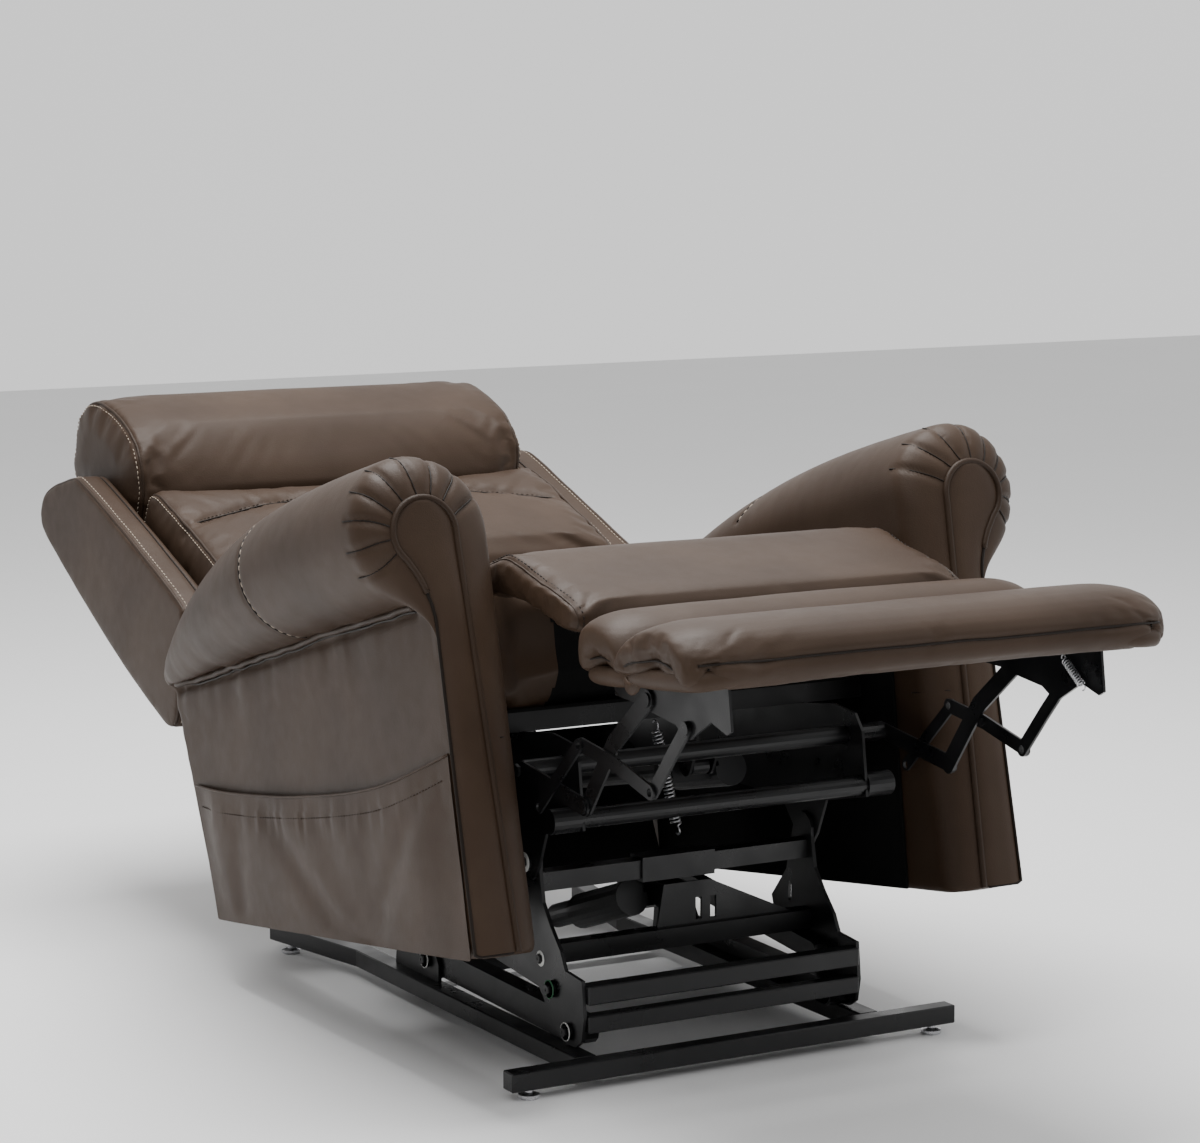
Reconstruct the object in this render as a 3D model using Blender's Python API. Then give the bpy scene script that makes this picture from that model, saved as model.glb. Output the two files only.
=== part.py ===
"""Lift recliner chair: floor frame, four-bar lift, tilting seat, reclining back and scissor footrest.

The chair is drawn as it stands with the seat tipped back, the back laid down and the footrest out.
Row frame: +X is the width, the chair faces -Y, +Z is up, and the origin lies on the floor under
the middle of the whole chair's box. The floor frame is drawn with y = 0 at the front face of its
front bar and then moved forward by CENTRE_Y. The upholstered body is drawn level in its own "seat"
coordinates and tipped by SEAT_TIP as one group. The back is drawn flat in (x, along, out)
coordinates whose origin is the recline hinge.
"""
import math

import bmesh
import bpy
from mathutils import Matrix, Vector

# ---------------------------------------------------------------- driving dimensions (metres)
GAP = 0.0003                      # between pieces that touch
PLAY = 0.0005                     # between flat links that slide past each other

CENTRE_Y = 0.509                  # from the front bar to the middle of the chair's box
BAR_HALF = 0.327                  # half length of the front bar
BAR_DEPTH = 0.025
FOOT_HEIGHT = 0.012
TUBE = 0.024                      # height of the floor tubes
RAIL_IN, RAIL_OUT = 0.195, 0.2235
RAIL_BEND = 0.655                 # where the rear legs splay outwards
RAIL_END = 0.860
REAR_BAR_Y = 0.553

ARM_PIVOT_REAR = (0.470, 0.062)   # (y, z) hinges of the lift linkage
ARM_PIVOT_FRONT = (0.078, 0.055)
LINK_PIVOT_REAR = (0.520, 0.1365)
LINK_PIVOT_FRONT = (0.120, 0.100)
TILT_PIVOT = (0.175, 0.253)
MOTOR_PIN = (0.200, 0.190)        # front pin of the lift actuator
ROD_PIN = (REAR_BAR_Y, 0.070)     # its rear pin on the floor frame
PLATE_IN, PLATE_OUT = 0.2005, 0.2055
HUB_X = 0.2065                    # inner face of the pivot bolt heads

SEAT_TIP = math.radians(-8.0)     # nose-up lean of the whole seat, as drawn
SIDE_IN, SIDE_OUT = 0.2062, 0.2102
RECLINE_PIVOT = (0.600, 0.450)
BACK_ANGLE = math.radians(27.0)   # back above the seat's level, as drawn
ARM_IN, ARM_OUT = 0.300, 0.400
ARM_FLOOR = 0.184                 # underside of the arms
ARM_LENGTH = 0.810
ROLL_SLOPE = 0.1395               # fall of the seam under the arm roll
SEAT_HALF = 0.285

CRANK_PIVOT = (0.030, 0.400)      # footrest scissor, seat coordinates
CRANK_END = (-0.122, 0.360)
LONG_END = (-0.285, 0.490)
CROSSING = (-0.200, 0.415)
CROSS_LOW = (-0.283, 0.383)
CROSS_HIGH = (-0.126, 0.4345)
CRANK_MID = (-0.048, 0.3795)
FRONT_LINK_TOP = (LONG_END[0] + CROSS_LOW[0] - CROSSING[0], LONG_END[1] + CROSS_LOW[1] - CROSSING[1])
BACK_LINK_LOW = (-0.015, 0.356)
THIGH_PIVOT = (0.050, 0.625)
FRONT_TUBE = (0.000, 0.335)
LAYER = 0.0040                    # pitch of the footrest links, one beside the next
LINK_THICK = 0.0035
LINK_X = 0.256                    # innermost footrest layer

RECLINE_PIN = (0.160, 0.370)      # front pin of the recline actuator
LEVER_PIN = (0.620, 0.335)        # its rear pin, on the back's lever
RECLINE_X = 0.060

HEAD_PIVOT = (0.572, 0.090)       # (along, out) on the back
WING_IN, WING_OUT = 0.330, 0.385

SIDES = (("left", -1), ("right", 1))


# ---------------------------------------------------------------- materials and scene helpers
def clear_scene():
    for obj in list(bpy.data.objects):
        bpy.data.objects.remove(obj, do_unlink=True)


def material(name, color, roughness, metallic=0.0):
    found = bpy.data.materials.get(name)
    mat = found or bpy.data.materials.new(name)
    mat.use_nodes = True
    shader = mat.node_tree.nodes["Principled BSDF"]
    shader.inputs["Base Color"].default_value = (*color, 1.0)
    shader.inputs["Roughness"].default_value = roughness
    shader.inputs["Metallic"].default_value = metallic
    return mat


def leather():
    return material("leather", (0.20, 0.145, 0.105), 0.5)


def black_steel():
    return material("black_steel", (0.012, 0.012, 0.013), 0.42, 0.3)


def chrome():
    return material("chrome", (0.75, 0.76, 0.78), 0.18, 1.0)


def black_plastic():
    return material("black_plastic", (0.015, 0.015, 0.016), 0.5)


def black_cloth():
    return material("black_cloth", (0.010, 0.010, 0.010), 0.9)


class Pivot:
    """An empty on a joint's axis. Children are drawn in model coordinates with its origin there."""

    def __init__(self, name, parent, origin, shift=None, turn=0.0):
        self.empty = bpy.data.objects.new(name, None)
        bpy.context.scene.collection.objects.link(self.empty)
        self.origin = Vector((0.0, *origin))
        self.empty.rotation_euler = (turn, 0.0, 0.0)
        if parent is None:
            self.empty.location = self.origin
            return
        self.empty.parent = parent.empty
        place = self.origin if shift is None else Vector((0.0, *shift))
        self.empty.location = place - parent.origin


def rotated(point, angle):
    """Turn a (y, z) point about the world's X axis."""
    c, s = math.cos(angle), math.sin(angle)
    return (point[0] * c - point[1] * s, point[0] * s + point[1] * c)


def helper(mesh_bm, pivot):
    """A hidden tool shape for a Boolean."""
    obj = solid("tool", mesh_bm, None, pivot)
    obj.hide_render = True
    obj.display_type = "WIRE"
    obj.hide_set(True)
    return obj


def solid(name, bm, mat, pivot, soft_edge=0.0, segments=1, smooth=40.0):
    """Turn a bmesh drawn in model coordinates into a named object under its pivot."""
    bmesh.ops.recalc_face_normals(bm, faces=bm.faces)
    bmesh.ops.translate(bm, verts=bm.verts, vec=-pivot.origin)
    mesh = bpy.data.meshes.new(name)
    bm.to_mesh(mesh)
    bm.free()
    obj = bpy.data.objects.new(name, mesh)
    bpy.context.scene.collection.objects.link(obj)
    obj.parent = pivot.empty
    if mat is not None:
        mesh.materials.append(mat)
        mesh.shade_smooth()
        mesh.set_sharp_from_angle(angle=math.radians(smooth))
    if soft_edge:
        bevel = obj.modifiers.new("edges", "BEVEL")
        bevel.width = soft_edge
        bevel.segments = segments
        bevel.limit_method = "ANGLE"
        bevel.angle_limit = math.radians(35.0)
    return obj


def boolean(obj, tool_bm, pivot, operation):
    mod = obj.modifiers.new(operation.lower(), "BOOLEAN")
    mod.operation = operation
    mod.solver = "EXACT"
    mod.object = helper(tool_bm, pivot)


# ---------------------------------------------------------------- shapes
def add_box(bm, low, high):
    made = bmesh.ops.create_cube(bm, size=1.0)
    size = Vector(high) - Vector(low)
    middle = (Vector(high) + Vector(low)) / 2
    bmesh.ops.transform(bm, verts=made["verts"], matrix=Matrix.Translation(middle) @ Matrix.Diagonal((*size, 1.0)))
    return bm


def add_rod(bm, start, end, radius, sides=16):
    """A cylinder between two points."""
    start, end = Vector(start), Vector(end)
    made = bmesh.ops.create_cone(bm, cap_ends=True, segments=sides, radius1=radius, radius2=radius,
                                 depth=(end - start).length)
    turn = (end - start).to_track_quat("Z", "Y").to_matrix().to_4x4()
    bmesh.ops.transform(bm, verts=made["verts"], matrix=Matrix.Translation((start + end) / 2) @ turn)
    return bm


def add_pin(bm, side, point, inner, outer, radius, sides=16):
    """A cylinder along X at a (y, z) point, between two distances from the middle plane."""
    return add_rod(bm, (side * inner, *point), (side * outer, *point), radius, sides)


def add_prism(bm, outline, x_a, x_b):
    """Extrude a closed (y, z) outline between two X planes."""
    ring = [bm.verts.new((x_a, y, z)) for y, z in outline]
    face = bm.faces.new(ring)
    made = bmesh.ops.extrude_face_region(bm, geom=[face])
    moved = [v for v in made["geom"] if isinstance(v, bmesh.types.BMVert)]
    bmesh.ops.translate(bm, verts=moved, vec=(x_b - x_a, 0.0, 0.0))
    return bm


def arc(center, radius, start, end, steps):
    """Points on a circle, in degrees, both ends included."""
    points = []
    for i in range(steps + 1):
        a = math.radians(start + (end - start) * i / steps)
        points.append((center[0] + radius * math.cos(a), center[1] + radius * math.sin(a)))
    return points


def strap(points, half, steps=6):
    """Outline of a flat link: a polyline of the given half width with round ends."""
    pts = [Vector(p) for p in points]
    dirs = [(b - a).normalized() for a, b in zip(pts, pts[1:])]
    left, right = [], []
    for i in range(1, len(pts) - 1):
        across = Vector((-(dirs[i - 1] + dirs[i]).y, (dirs[i - 1] + dirs[i]).x)).normalized()
        reach = half / across.dot(Vector((-dirs[i].y, dirs[i].x)))
        left.append(tuple(pts[i] + across * reach))
        right.append(tuple(pts[i] - across * reach))
    head = math.degrees(math.atan2(dirs[-1].y, dirs[-1].x))
    tail = math.degrees(math.atan2(dirs[0].y, dirs[0].x))
    end_cap = arc(pts[-1], half, head - 90, head + 90, steps)
    start_cap = arc(pts[0], half, tail + 90, tail + 270, steps)
    return start_cap + right + end_cap + left[::-1]


def loft(bm, rings):
    """Skin a row of equal rings and close both ends."""
    rows = [[bm.verts.new(p) for p in ring] for ring in rings]
    count = len(rows[0])
    for a, b in zip(rows, rows[1:]):
        for i in range(count):
            bm.faces.new((a[i], a[(i + 1) % count], b[(i + 1) % count], b[i]))
    bm.faces.new(rows[0][::-1])
    bm.faces.new(rows[-1])
    return bm


def block(name, low, high, mat, pivot, soft_edge=0.0, segments=1):
    return solid(name, add_box(bmesh.new(), low, high), mat, pivot, soft_edge, segments)


def drill(obj, pivot, points, radius, reach=0.4, sides=16):
    """Cut round holes right through along X."""
    tool = bmesh.new()
    for point in points:
        add_rod(tool, (-reach, *point), (reach, *point), radius, sides)
    boolean(obj, tool, pivot, "DIFFERENCE")


def pivot_stub(obj, pivot, side, point, inner, face, radius=0.006, head=0.011):
    """Weld on a pin that passes through the neighbour and ends in a bolt head."""
    tool = add_pin(bmesh.new(), side, point, inner, face + 0.0045, radius)
    boolean(obj, tool, pivot, "UNION")
    tool = add_pin(bmesh.new(), side, point, face, face + 0.005, head)
    boolean(obj, tool, pivot, "UNION")


# ---------------------------------------------------------------- floor frame
def floor_frame(base):
    steel = black_steel()
    low, high = FOOT_HEIGHT, FOOT_HEIGHT + TUBE
    block("base_front_bar", (-BAR_HALF, 0.0, low), (BAR_HALF, BAR_DEPTH, high), steel, base, 0.0015)
    for name, side in SIDES:
        floor_rail(name, side, base)
        floor_bracket(name, side, base)
        levelling_foot("front_" + name, side * 0.2975, BAR_DEPTH / 2, base)
        levelling_foot("rear_" + name, side * 0.2470, 0.820, base)
    rear_bar(base)


def floor_rail(name, side, base):
    """A straight tube whose rear leg splays outwards."""
    spread = 0.039
    start = BAR_DEPTH + GAP
    plan = [(RAIL_IN, start), (RAIL_OUT, start), (RAIL_OUT, RAIL_BEND), (RAIL_OUT + spread, RAIL_END)]
    plan += [(RAIL_IN + spread, RAIL_END + 0.006), (RAIL_IN, RAIL_BEND + 0.006)]
    bm = bmesh.new()
    face = bm.faces.new([bm.verts.new((side * x, y, FOOT_HEIGHT)) for x, y in plan])
    made = bmesh.ops.extrude_face_region(bm, geom=[face])
    moved = [v for v in made["geom"] if isinstance(v, bmesh.types.BMVert)]
    bmesh.ops.translate(bm, verts=moved, vec=(0.0, 0.0, TUBE))
    solid("base_rail_" + name, bm, black_steel(), base, 0.0015)


def floor_bracket(name, side, base):
    """Upright plate on the rail that carries both rear hinges of the lift linkage."""
    foot = FOOT_HEIGHT + TUBE + GAP
    outline = [(0.438, foot), (0.566, foot), (0.560, 0.090)]
    outline += arc(LINK_PIVOT_REAR, 0.022, -10, 160, 5) + [(0.452, 0.082), (0.438, 0.060)]
    obj = solid("base_bracket_" + name, add_prism(bmesh.new(), outline, side * PLATE_IN, side * PLATE_OUT),
                black_steel(), base)
    drill(obj, base, [ARM_PIVOT_REAR, LINK_PIVOT_REAR], 0.0063)


def rear_bar(base):
    """Cross tube with the two ears that hold the lift actuator's rear pin."""
    low, high = FOOT_HEIGHT, FOOT_HEIGHT + TUBE
    reach = RAIL_IN - GAP
    half = BAR_DEPTH / 2
    obj = block("base_rear_bar", (-reach, REAR_BAR_Y - half, low), (reach, REAR_BAR_Y + half, high), black_steel(), base)
    for inner in (0.0150, -0.0190):
        ear = [(REAR_BAR_Y - 0.012, high - 0.002), (REAR_BAR_Y + 0.012, high - 0.002)]
        ear += arc(ROD_PIN, 0.012, 0, 180, 6)
        boolean(obj, add_prism(bmesh.new(), ear, inner, inner + 0.004), base, "UNION")
    drill(obj, base, [ROD_PIN], 0.005, reach=0.05)


def levelling_foot(name, x, y, base):
    bm = bmesh.new()
    profile = [(0.0125, 0.0), (0.0135, 0.002), (0.0135, 0.005), (0.009, 0.0065), (0.005, 0.0075),
               (0.005, FOOT_HEIGHT - GAP)]
    sides = 16
    rings = []
    for radius, z in profile:
        ring = [(x + radius * math.cos(2 * math.pi * i / sides), y + radius * math.sin(2 * math.pi * i / sides), z)
                for i in range(sides)]
        rings.append(ring)
    solid("levelling_foot_" + name, loft(bm, rings), chrome(), base)


# ---------------------------------------------------------------- lift linkage
def lift_arm(name, side, arms):
    """Lower lift arm: a channel, open towards the middle of the chair."""
    inner, outer = 0.172, 0.200
    outline = strap([ARM_PIVOT_FRONT, ARM_PIVOT_REAR], 0.018)
    obj = solid("lift_arm_" + name, add_prism(bmesh.new(), outline, side * inner, side * outer), black_steel(), arms)
    hollow = strap([ARM_PIVOT_FRONT, ARM_PIVOT_REAR], 0.0148)
    boolean(obj, add_prism(bmesh.new(), hollow, side * (inner - 0.01), side * (outer - 0.0035)), arms, "DIFFERENCE")
    for point in (ARM_PIVOT_FRONT, ARM_PIVOT_REAR):
        pivot_stub(obj, arms, side, point, outer - 0.006, HUB_X)


def upper_arm(name, side, arms):
    """Upper lift link: a flat bar above the channel."""
    inner, outer = 0.180, 0.200
    outline = strap([LINK_PIVOT_FRONT, LINK_PIVOT_REAR], 0.0125)
    obj = solid("upper_arm_" + name, add_prism(bmesh.new(), outline, side * inner, side * outer), black_steel(), arms)
    for point in (LINK_PIVOT_FRONT, LINK_PIVOT_REAR):
        pivot_stub(obj, arms, side, point, outer - 0.006, HUB_X)


def lift_plate(name, side, plates):
    """Side plate of the lift: hinges on both arms below and carries the seat at its top."""
    outline = arc(TILT_PIVOT, 0.022, 20, 200, 6)
    outline += [(0.146, 0.205), (0.125, 0.178), (0.100, 0.152), (0.088, 0.130), (0.045, 0.126)]
    outline += [(0.040, 0.078), (0.046, 0.048), (0.062, 0.038), (0.086, 0.0365), (0.108, 0.045)]
    outline += [(0.140, 0.078), (0.167, 0.107), (0.216, 0.112), (0.243, 0.128), (0.250, 0.148), (0.214, 0.190)]
    obj = solid("lift_plate_" + name, add_prism(bmesh.new(), outline, side * PLATE_IN, side * PLATE_OUT),
                black_steel(), plates)
    drill(obj, plates, [ARM_PIVOT_FRONT], 0.0063)
    drill(obj, plates, [LINK_PIVOT_FRONT], 0.0095)
    slot = strap([(0.205, 0.152), (0.205, 0.170)], 0.004)
    boolean(obj, add_prism(bmesh.new(), slot, side * 0.19, side * 0.22), plates, "DIFFERENCE")
    pivot_stub(obj, plates, side, TILT_PIVOT, PLATE_OUT - 0.003, SIDE_OUT + PLAY, 0.007, 0.012)


def lift_tubes(plates):
    steel = black_steel()
    reach = PLATE_IN - GAP
    block("lift_front_tube", (-reach, 0.036, 0.096), (reach, 0.060, 0.120), steel, plates, 0.0015)
    block("lift_lower_tube", (-reach, 0.036, 0.060), (reach, 0.056, 0.082), steel, plates, 0.0015)
    upper = block("lift_upper_tube", (-reach, 0.163, 0.215), (reach, 0.187, 0.239), steel, plates)
    sleeve = add_box(bmesh.new(), (-0.052, 0.159, 0.211), (0.056, 0.191, 0.243))
    boolean(upper, sleeve, plates, "UNION")
    rear_tube(plates)


def rear_tube(plates):
    """Cross tube with the slotted gusset and the two ears of the lift actuator's front pin."""
    reach = PLATE_IN - GAP
    obj = block("lift_rear_tube", (-reach, 0.1505, 0.1225), (reach, 0.1755, 0.1475), black_steel(), plates)
    gusset = bmesh.new()
    shape = [(-0.030, 0.1465), (0.176, 0.1465), (0.050, 0.204), (-0.020, 0.204)]
    face = gusset.faces.new([gusset.verts.new((x, 0.160, z)) for x, z in shape])
    made = bmesh.ops.extrude_face_region(gusset, geom=[face])
    moved = [v for v in made["geom"] if isinstance(v, bmesh.types.BMVert)]
    bmesh.ops.translate(gusset, verts=moved, vec=(0.0, 0.004, 0.0))
    boolean(obj, gusset, plates, "UNION")
    for x in (0.0150, -0.0190):
        ear = [(0.1625, 0.168), (0.200, 0.176)] + arc(MOTOR_PIN, 0.013, -60, 100, 5) + [(0.1625, 0.203)]
        boolean(obj, add_prism(bmesh.new(), ear, x, x + 0.004), plates, "UNION")
    slots = bmesh.new()
    for x in (0.028, 0.050):
        add_box(slots, (x, 0.150, 0.153), (x + 0.009, 0.170, 0.182))
    boolean(obj, slots, plates, "DIFFERENCE")
    drill(obj, plates, [MOTOR_PIN], 0.005, reach=0.05)


def along(start, end, distance, x=0.0):
    """A point on the line between two (y, z) pins, measured from the first."""
    a, b = Vector(start), Vector(end)
    p = a + (b - a).normalized() * distance
    return (x, p.x, p.y)


def linear_actuator(name, start, end, x, body_pivot, rod_pivot, motor_side, motor_drop):
    """Gearbox, motor and outer tube as one piece, and the chrome rod that slides in the tube."""
    length = (Vector(end) - Vector(start)).length
    tube_end = length - 0.075
    bm = add_rod(bmesh.new(), along(start, end, 0.018, x), along(start, end, tube_end, x), 0.0165, 20)
    body = solid(name + "_motor", bm, black_plastic(), body_pivot)
    tilt = math.atan2(end[1] - start[1], end[0] - start[0])
    lug = add_rod(bmesh.new(), (x - 0.0120, *start), (x + 0.0120, *start), 0.0115, 16)
    boolean(body, lug, body_pivot, "UNION")
    gearbox = add_box(bmesh.new(), (-0.030, 0.0155, -0.020), (0.030, 0.062, 0.020))
    neck = add_box(bmesh.new(), (-0.0118, 0.001, -0.010), (0.0118, 0.030, 0.010))
    bmesh.ops.rotate(neck, verts=neck.verts, cent=(0, 0, 0), matrix=Matrix.Rotation(tilt, 3, "X"))
    bmesh.ops.translate(neck, verts=neck.verts, vec=(x, *start))
    boolean(body, neck, body_pivot, "UNION")
    bmesh.ops.rotate(gearbox, verts=gearbox.verts, cent=(0, 0, 0), matrix=Matrix.Rotation(tilt, 3, "X"))
    bmesh.ops.translate(gearbox, verts=gearbox.verts, vec=(x, *start))
    boolean(body, gearbox, body_pivot, "UNION")
    offset = Vector(rotated((0.0, motor_drop), tilt))
    first = Vector(along(start, end, -0.004, x + motor_side)) + Vector((0.0, *offset))
    last = Vector(along(start, end, 0.135, x + motor_side)) + Vector((0.0, *offset))
    boolean(body, add_rod(bmesh.new(), first, last, 0.0235, 20), body_pivot, "UNION")
    bore = add_rod(bmesh.new(), along(start, end, 0.075, x), along(start, end, length, x), 0.0105, 16)
    boolean(body, bore, body_pivot, "DIFFERENCE")
    drill_at(body, body_pivot, start, x, 0.0052)
    rod = add_rod(bmesh.new(), along(start, end, 0.085, x), along(start, end, length - 0.008, x), 0.0095, 16)
    obj = solid(name + "_rod", rod, chrome(), rod_pivot)
    eye = add_rod(bmesh.new(), (x - 0.0110, *end), (x + 0.0110, *end), 0.0135, 20)
    boolean(obj, eye, rod_pivot, "UNION")
    drill_at(obj, rod_pivot, end, x, 0.0085)


def drill_at(obj, pivot, point, x, radius):
    tool = add_rod(bmesh.new(), (x - 0.03, *point), (x + 0.03, *point), radius, 16)
    boolean(obj, tool, pivot, "DIFFERENCE")


# ---------------------------------------------------------------- seat frame
def seat_side(name, side, seat):
    """Steel side plate: hangs on the tilt hinge and carries the footrest and recline hinges."""
    tilt = rotated(TILT_PIVOT, -SEAT_TIP)
    outline = [(-0.012, 0.320), (0.085, 0.312), (0.112, 0.268)] + arc(tilt, 0.024, 210, 330, 5)
    outline += [(0.168, 0.275), (0.195, 0.315), (0.450, 0.345), (0.575, 0.365), (0.628, 0.400)]
    outline += arc(RECLINE_PIVOT, 0.026, -10, 200, 6)
    outline += [(0.562, 0.415), (0.510, 0.420), (0.488, 0.4397), (0.050, 0.4397), (0.002, 0.428), (-0.012, 0.405)]
    obj = solid("seat_side_" + name, add_prism(bmesh.new(), outline, side * SIDE_IN, side * SIDE_OUT),
                black_steel(), seat)
    drill(obj, seat, [tilt, RECLINE_PIVOT], 0.0075)
    drill(obj, seat, [CRANK_PIVOT], 0.0125)
    drill(obj, seat, [FRONT_TUBE], 0.0135)


def seat_rails(seat):
    steel = black_steel()
    reach = ARM_IN - 0.0038
    front = block("seat_front_rail", (-reach, 0.120, 0.440), (reach, 0.145, 0.465), steel, seat)
    for x in (RECLINE_X + 0.0150, RECLINE_X - 0.0190):
        ear = [(0.125, 0.441), (0.125, 0.400)] + arc(RECLINE_PIN, 0.013, 200, 360, 6) + [(0.143, 0.441)]
        boolean(front, add_prism(bmesh.new(), ear, x, x + 0.004), seat, "UNION")
    drill_at(front, seat, RECLINE_PIN, RECLINE_X, 0.005)
    block("seat_rear_rail", (-reach, 0.455, 0.440), (reach, 0.480, 0.465), steel, seat, 0.0015)
    tube = add_rod(bmesh.new(), (-0.238, *FRONT_TUBE), (0.238, *FRONT_TUBE), 0.0125, 20)
    obj = solid("seat_front_tube", tube, steel, seat)
    for side in (-1, 1):
        boolean(obj, add_pin(bmesh.new(), side, FRONT_TUBE, SIDE_OUT + PLAY, 0.250, 0.016, 20), seat, "UNION")


def tilt_spring(seat):
    """Outer shape of the balance spring between the front rail and the lift's upper tube."""
    spring = add_rod(bmesh.new(), (-0.018, 0.128, 0.4385), (0.010, 0.136, 0.284), 0.0075, 12)
    solid("balance_spring", spring, chrome(), seat)


def seat_cushion(seat):
    outline = [(0.109, 0.470), (0.495, 0.470), (0.495, 0.600), (0.470, 0.622), (0.300, 0.636),
               (0.160, 0.650), (0.125, 0.646), (0.109, 0.620)]
    bm = add_prism(bmesh.new(), outline, -SEAT_HALF, SEAT_HALF)
    solid("seat_cushion", bm, leather(), seat, 0.012, 2)


def arm_top(y):
    """Height of the top of the arm roll."""
    t = (y - 0.02) / (ARM_LENGTH - 0.02)
    return 0.797 - 0.087 * t - 0.175 * t ** 3


def arm_ring(side, y, lean, shrink, seam):
    """One cross-section of a rolled arm: straight sides below, the roll above."""
    top = arm_top(max(y, 0.02)) - shrink
    half = (top - seam) / 2
    middle = seam + half
    bottom = ARM_FLOOR + max(0.0, y - 0.70) / 0.348 + shrink * 0.3
    out = ARM_OUT - shrink * 0.4
    inside = ARM_IN + GAP + shrink * 0.4
    profile = [(inside, bottom)]
    for i in range(10):
        angle = math.radians(180 - 27 * i)
        reach = (out - inside) if math.cos(angle) < 0 else half * 0.93
        profile.append((out + reach * math.cos(angle), middle + half * math.sin(angle)))
    profile += [(out, min(seam, middle - half) - 0.002), (out, bottom)]
    return [(side * x, y + lean * (z - 0.70), z) for x, z in profile]


def upholstered_arm(name, side, seat):
    stations = [(-0.012, 0.1015, 0.030), (0.006, 0.1015, 0.012), (0.034, 0.0900, 0.0)]
    stations += [(y, 0.0900 * max(0.0, 1 - y / 0.30), 0.0) for y in (0.12, 0.24, 0.36, 0.48, 0.58, 0.67, 0.74)]
    stations += [(0.785, 0.0, 0.0), (0.800, 0.0, 0.004)]
    rings = []
    for y, lean, shrink in stations:
        seam = 0.615 - ROLL_SLOPE * max(y, 0.0)
        rings.append(arm_ring(side, y, lean, shrink, seam))
    solid("arm_" + name, loft(bmesh.new(), rings), leather(), seat)


def arm_liner(name, side, seat):
    """Black cloth over the arm's inner side, below the seat."""
    outline = [(0.045, 0.188), (0.690, 0.188), (0.690, 0.560), (0.045, 0.600)]
    bm = add_prism(bmesh.new(), outline, side * (ARM_IN - 0.0033), side * (ARM_IN - GAP))
    solid("arm_liner_" + name, bm, black_cloth(), seat)


def black_covers(seat):
    """Cloth under the seat cushion, and the panel that closes the body at the back."""
    block("seat_deck", (-SEAT_HALF, 0.110, 0.4655), (SEAT_HALF, 0.495, 0.4697), black_cloth(), seat)
    outline = [(0.688, 0.198), (0.756, 0.393), (0.753, 0.3945), (0.685, 0.1995)]
    reach = ARM_IN - 0.0037
    solid("rear_valance", add_prism(bmesh.new(), outline, -reach, reach), black_cloth(), seat)


def side_pocket(seat):
    """Storage pocket on the left arm's outer side, open at the top."""
    near, far = ARM_OUT + GAP, ARM_OUT + 0.018
    outline = [(-0.034, 0.192), (0.692, 0.192), (0.744, 0.372), (0.600, 0.366), (0.400, 0.369),
               (0.200, 0.383), (0.080, 0.402), (-0.010, 0.426)]
    obj = solid("side_pocket", add_prism(bmesh.new(), outline, -near, -far), leather(), seat)
    hollow = [(-0.020, 0.202), (0.680, 0.202), (0.735, 0.460), (0.004, 0.460)]
    boolean(obj, add_prism(bmesh.new(), hollow, -near + 0.01, -far + 0.0045), seat, "DIFFERENCE")


# ---------------------------------------------------------------- back, in (x, along, out)
def back_frame(back):
    """Flat panel frame with the two recline hinges and the actuator's lever."""
    obj = block("back_frame", (-0.268, 0.050, -0.052), (0.268, 0.560, -0.0222), black_steel(), back)
    for side in (-1, 1):
        ear = arc((0.0, 0.0), 0.020, 90, 250, 6) + [(0.060, -0.050), (0.060, -0.024)]
        inner = SIDE_OUT + PLAY
        boolean(obj, add_prism(bmesh.new(), ear, side * inner, side * (inner + 0.004)), back, "UNION")
        boolean(obj, add_pin(bmesh.new(), side, (0.0, 0.0), 0.2010, inner + 0.001, 0.007), back, "UNION")
        boolean(obj, add_pin(bmesh.new(), side, (0.0, 0.0), 0.2010, SIDE_IN - PLAY, 0.012), back, "UNION")
    end = lever_end()
    for x in (RECLINE_X + 0.0150, RECLINE_X - 0.0190):
        lever = [(0.056, -0.026), (0.056, -0.050)] + arc(end, 0.013, 310, 130, 6)
        boolean(obj, add_prism(bmesh.new(), lever, x, x + 0.004), back, "UNION")
    drill_at(obj, back, end, RECLINE_X, 0.005)


def lever_end():
    """The lever's pin in the back's own coordinates."""
    rel = (LEVER_PIN[0] - RECLINE_PIVOT[0], LEVER_PIN[1] - RECLINE_PIVOT[1])
    return rotated(rel, -BACK_ANGLE)


def back_cushions(back):
    lower = [(-0.025, 0.042), (0.050, 0.042), (0.050, -0.018), (0.243, -0.018), (0.243, 0.090), (0.215, 0.104),
             (0.030, 0.104), (-0.025, 0.090)]
    solid("lumbar_cushion", add_prism(bmesh.new(), lower, -SEAT_HALF, SEAT_HALF), leather(), back, 0.010, 2)
    upper = [(0.247, -0.018), (0.566, -0.018), (0.566, 0.090), (0.540, 0.108), (0.270, 0.106), (0.247, 0.088)]
    solid("back_cushion", add_prism(bmesh.new(), upper, -0.322, 0.322), leather(), back, 0.012, 2)


def back_rear_line():
    """The rear surface shared by the wings and the back cover, from the bottom up."""
    return [(0.226, -0.122), (0.310, -0.132), (0.510, -0.118), (0.735, -0.083)]


def back_wing(name, side, back):
    outline = back_rear_line() + [(0.788, -0.070), (0.802, -0.050), (0.796, -0.022), (0.770, 0.008), (0.725, 0.040)]
    outline += [(0.690, 0.062), (0.650, 0.072), (0.270, 0.066), (0.236, 0.050)]
    bm = add_prism(bmesh.new(), outline, side * WING_IN, side * WING_OUT)
    solid("back_wing_" + name, bm, leather(), back, 0.008, 2)


def back_cover(back):
    outline = back_rear_line() + [(0.780, -0.068), (0.780, -0.0525), (0.226, -0.0525)]
    reach = WING_IN - GAP
    solid("back_cover", add_prism(bmesh.new(), outline, -reach, reach), leather(), back)


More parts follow.
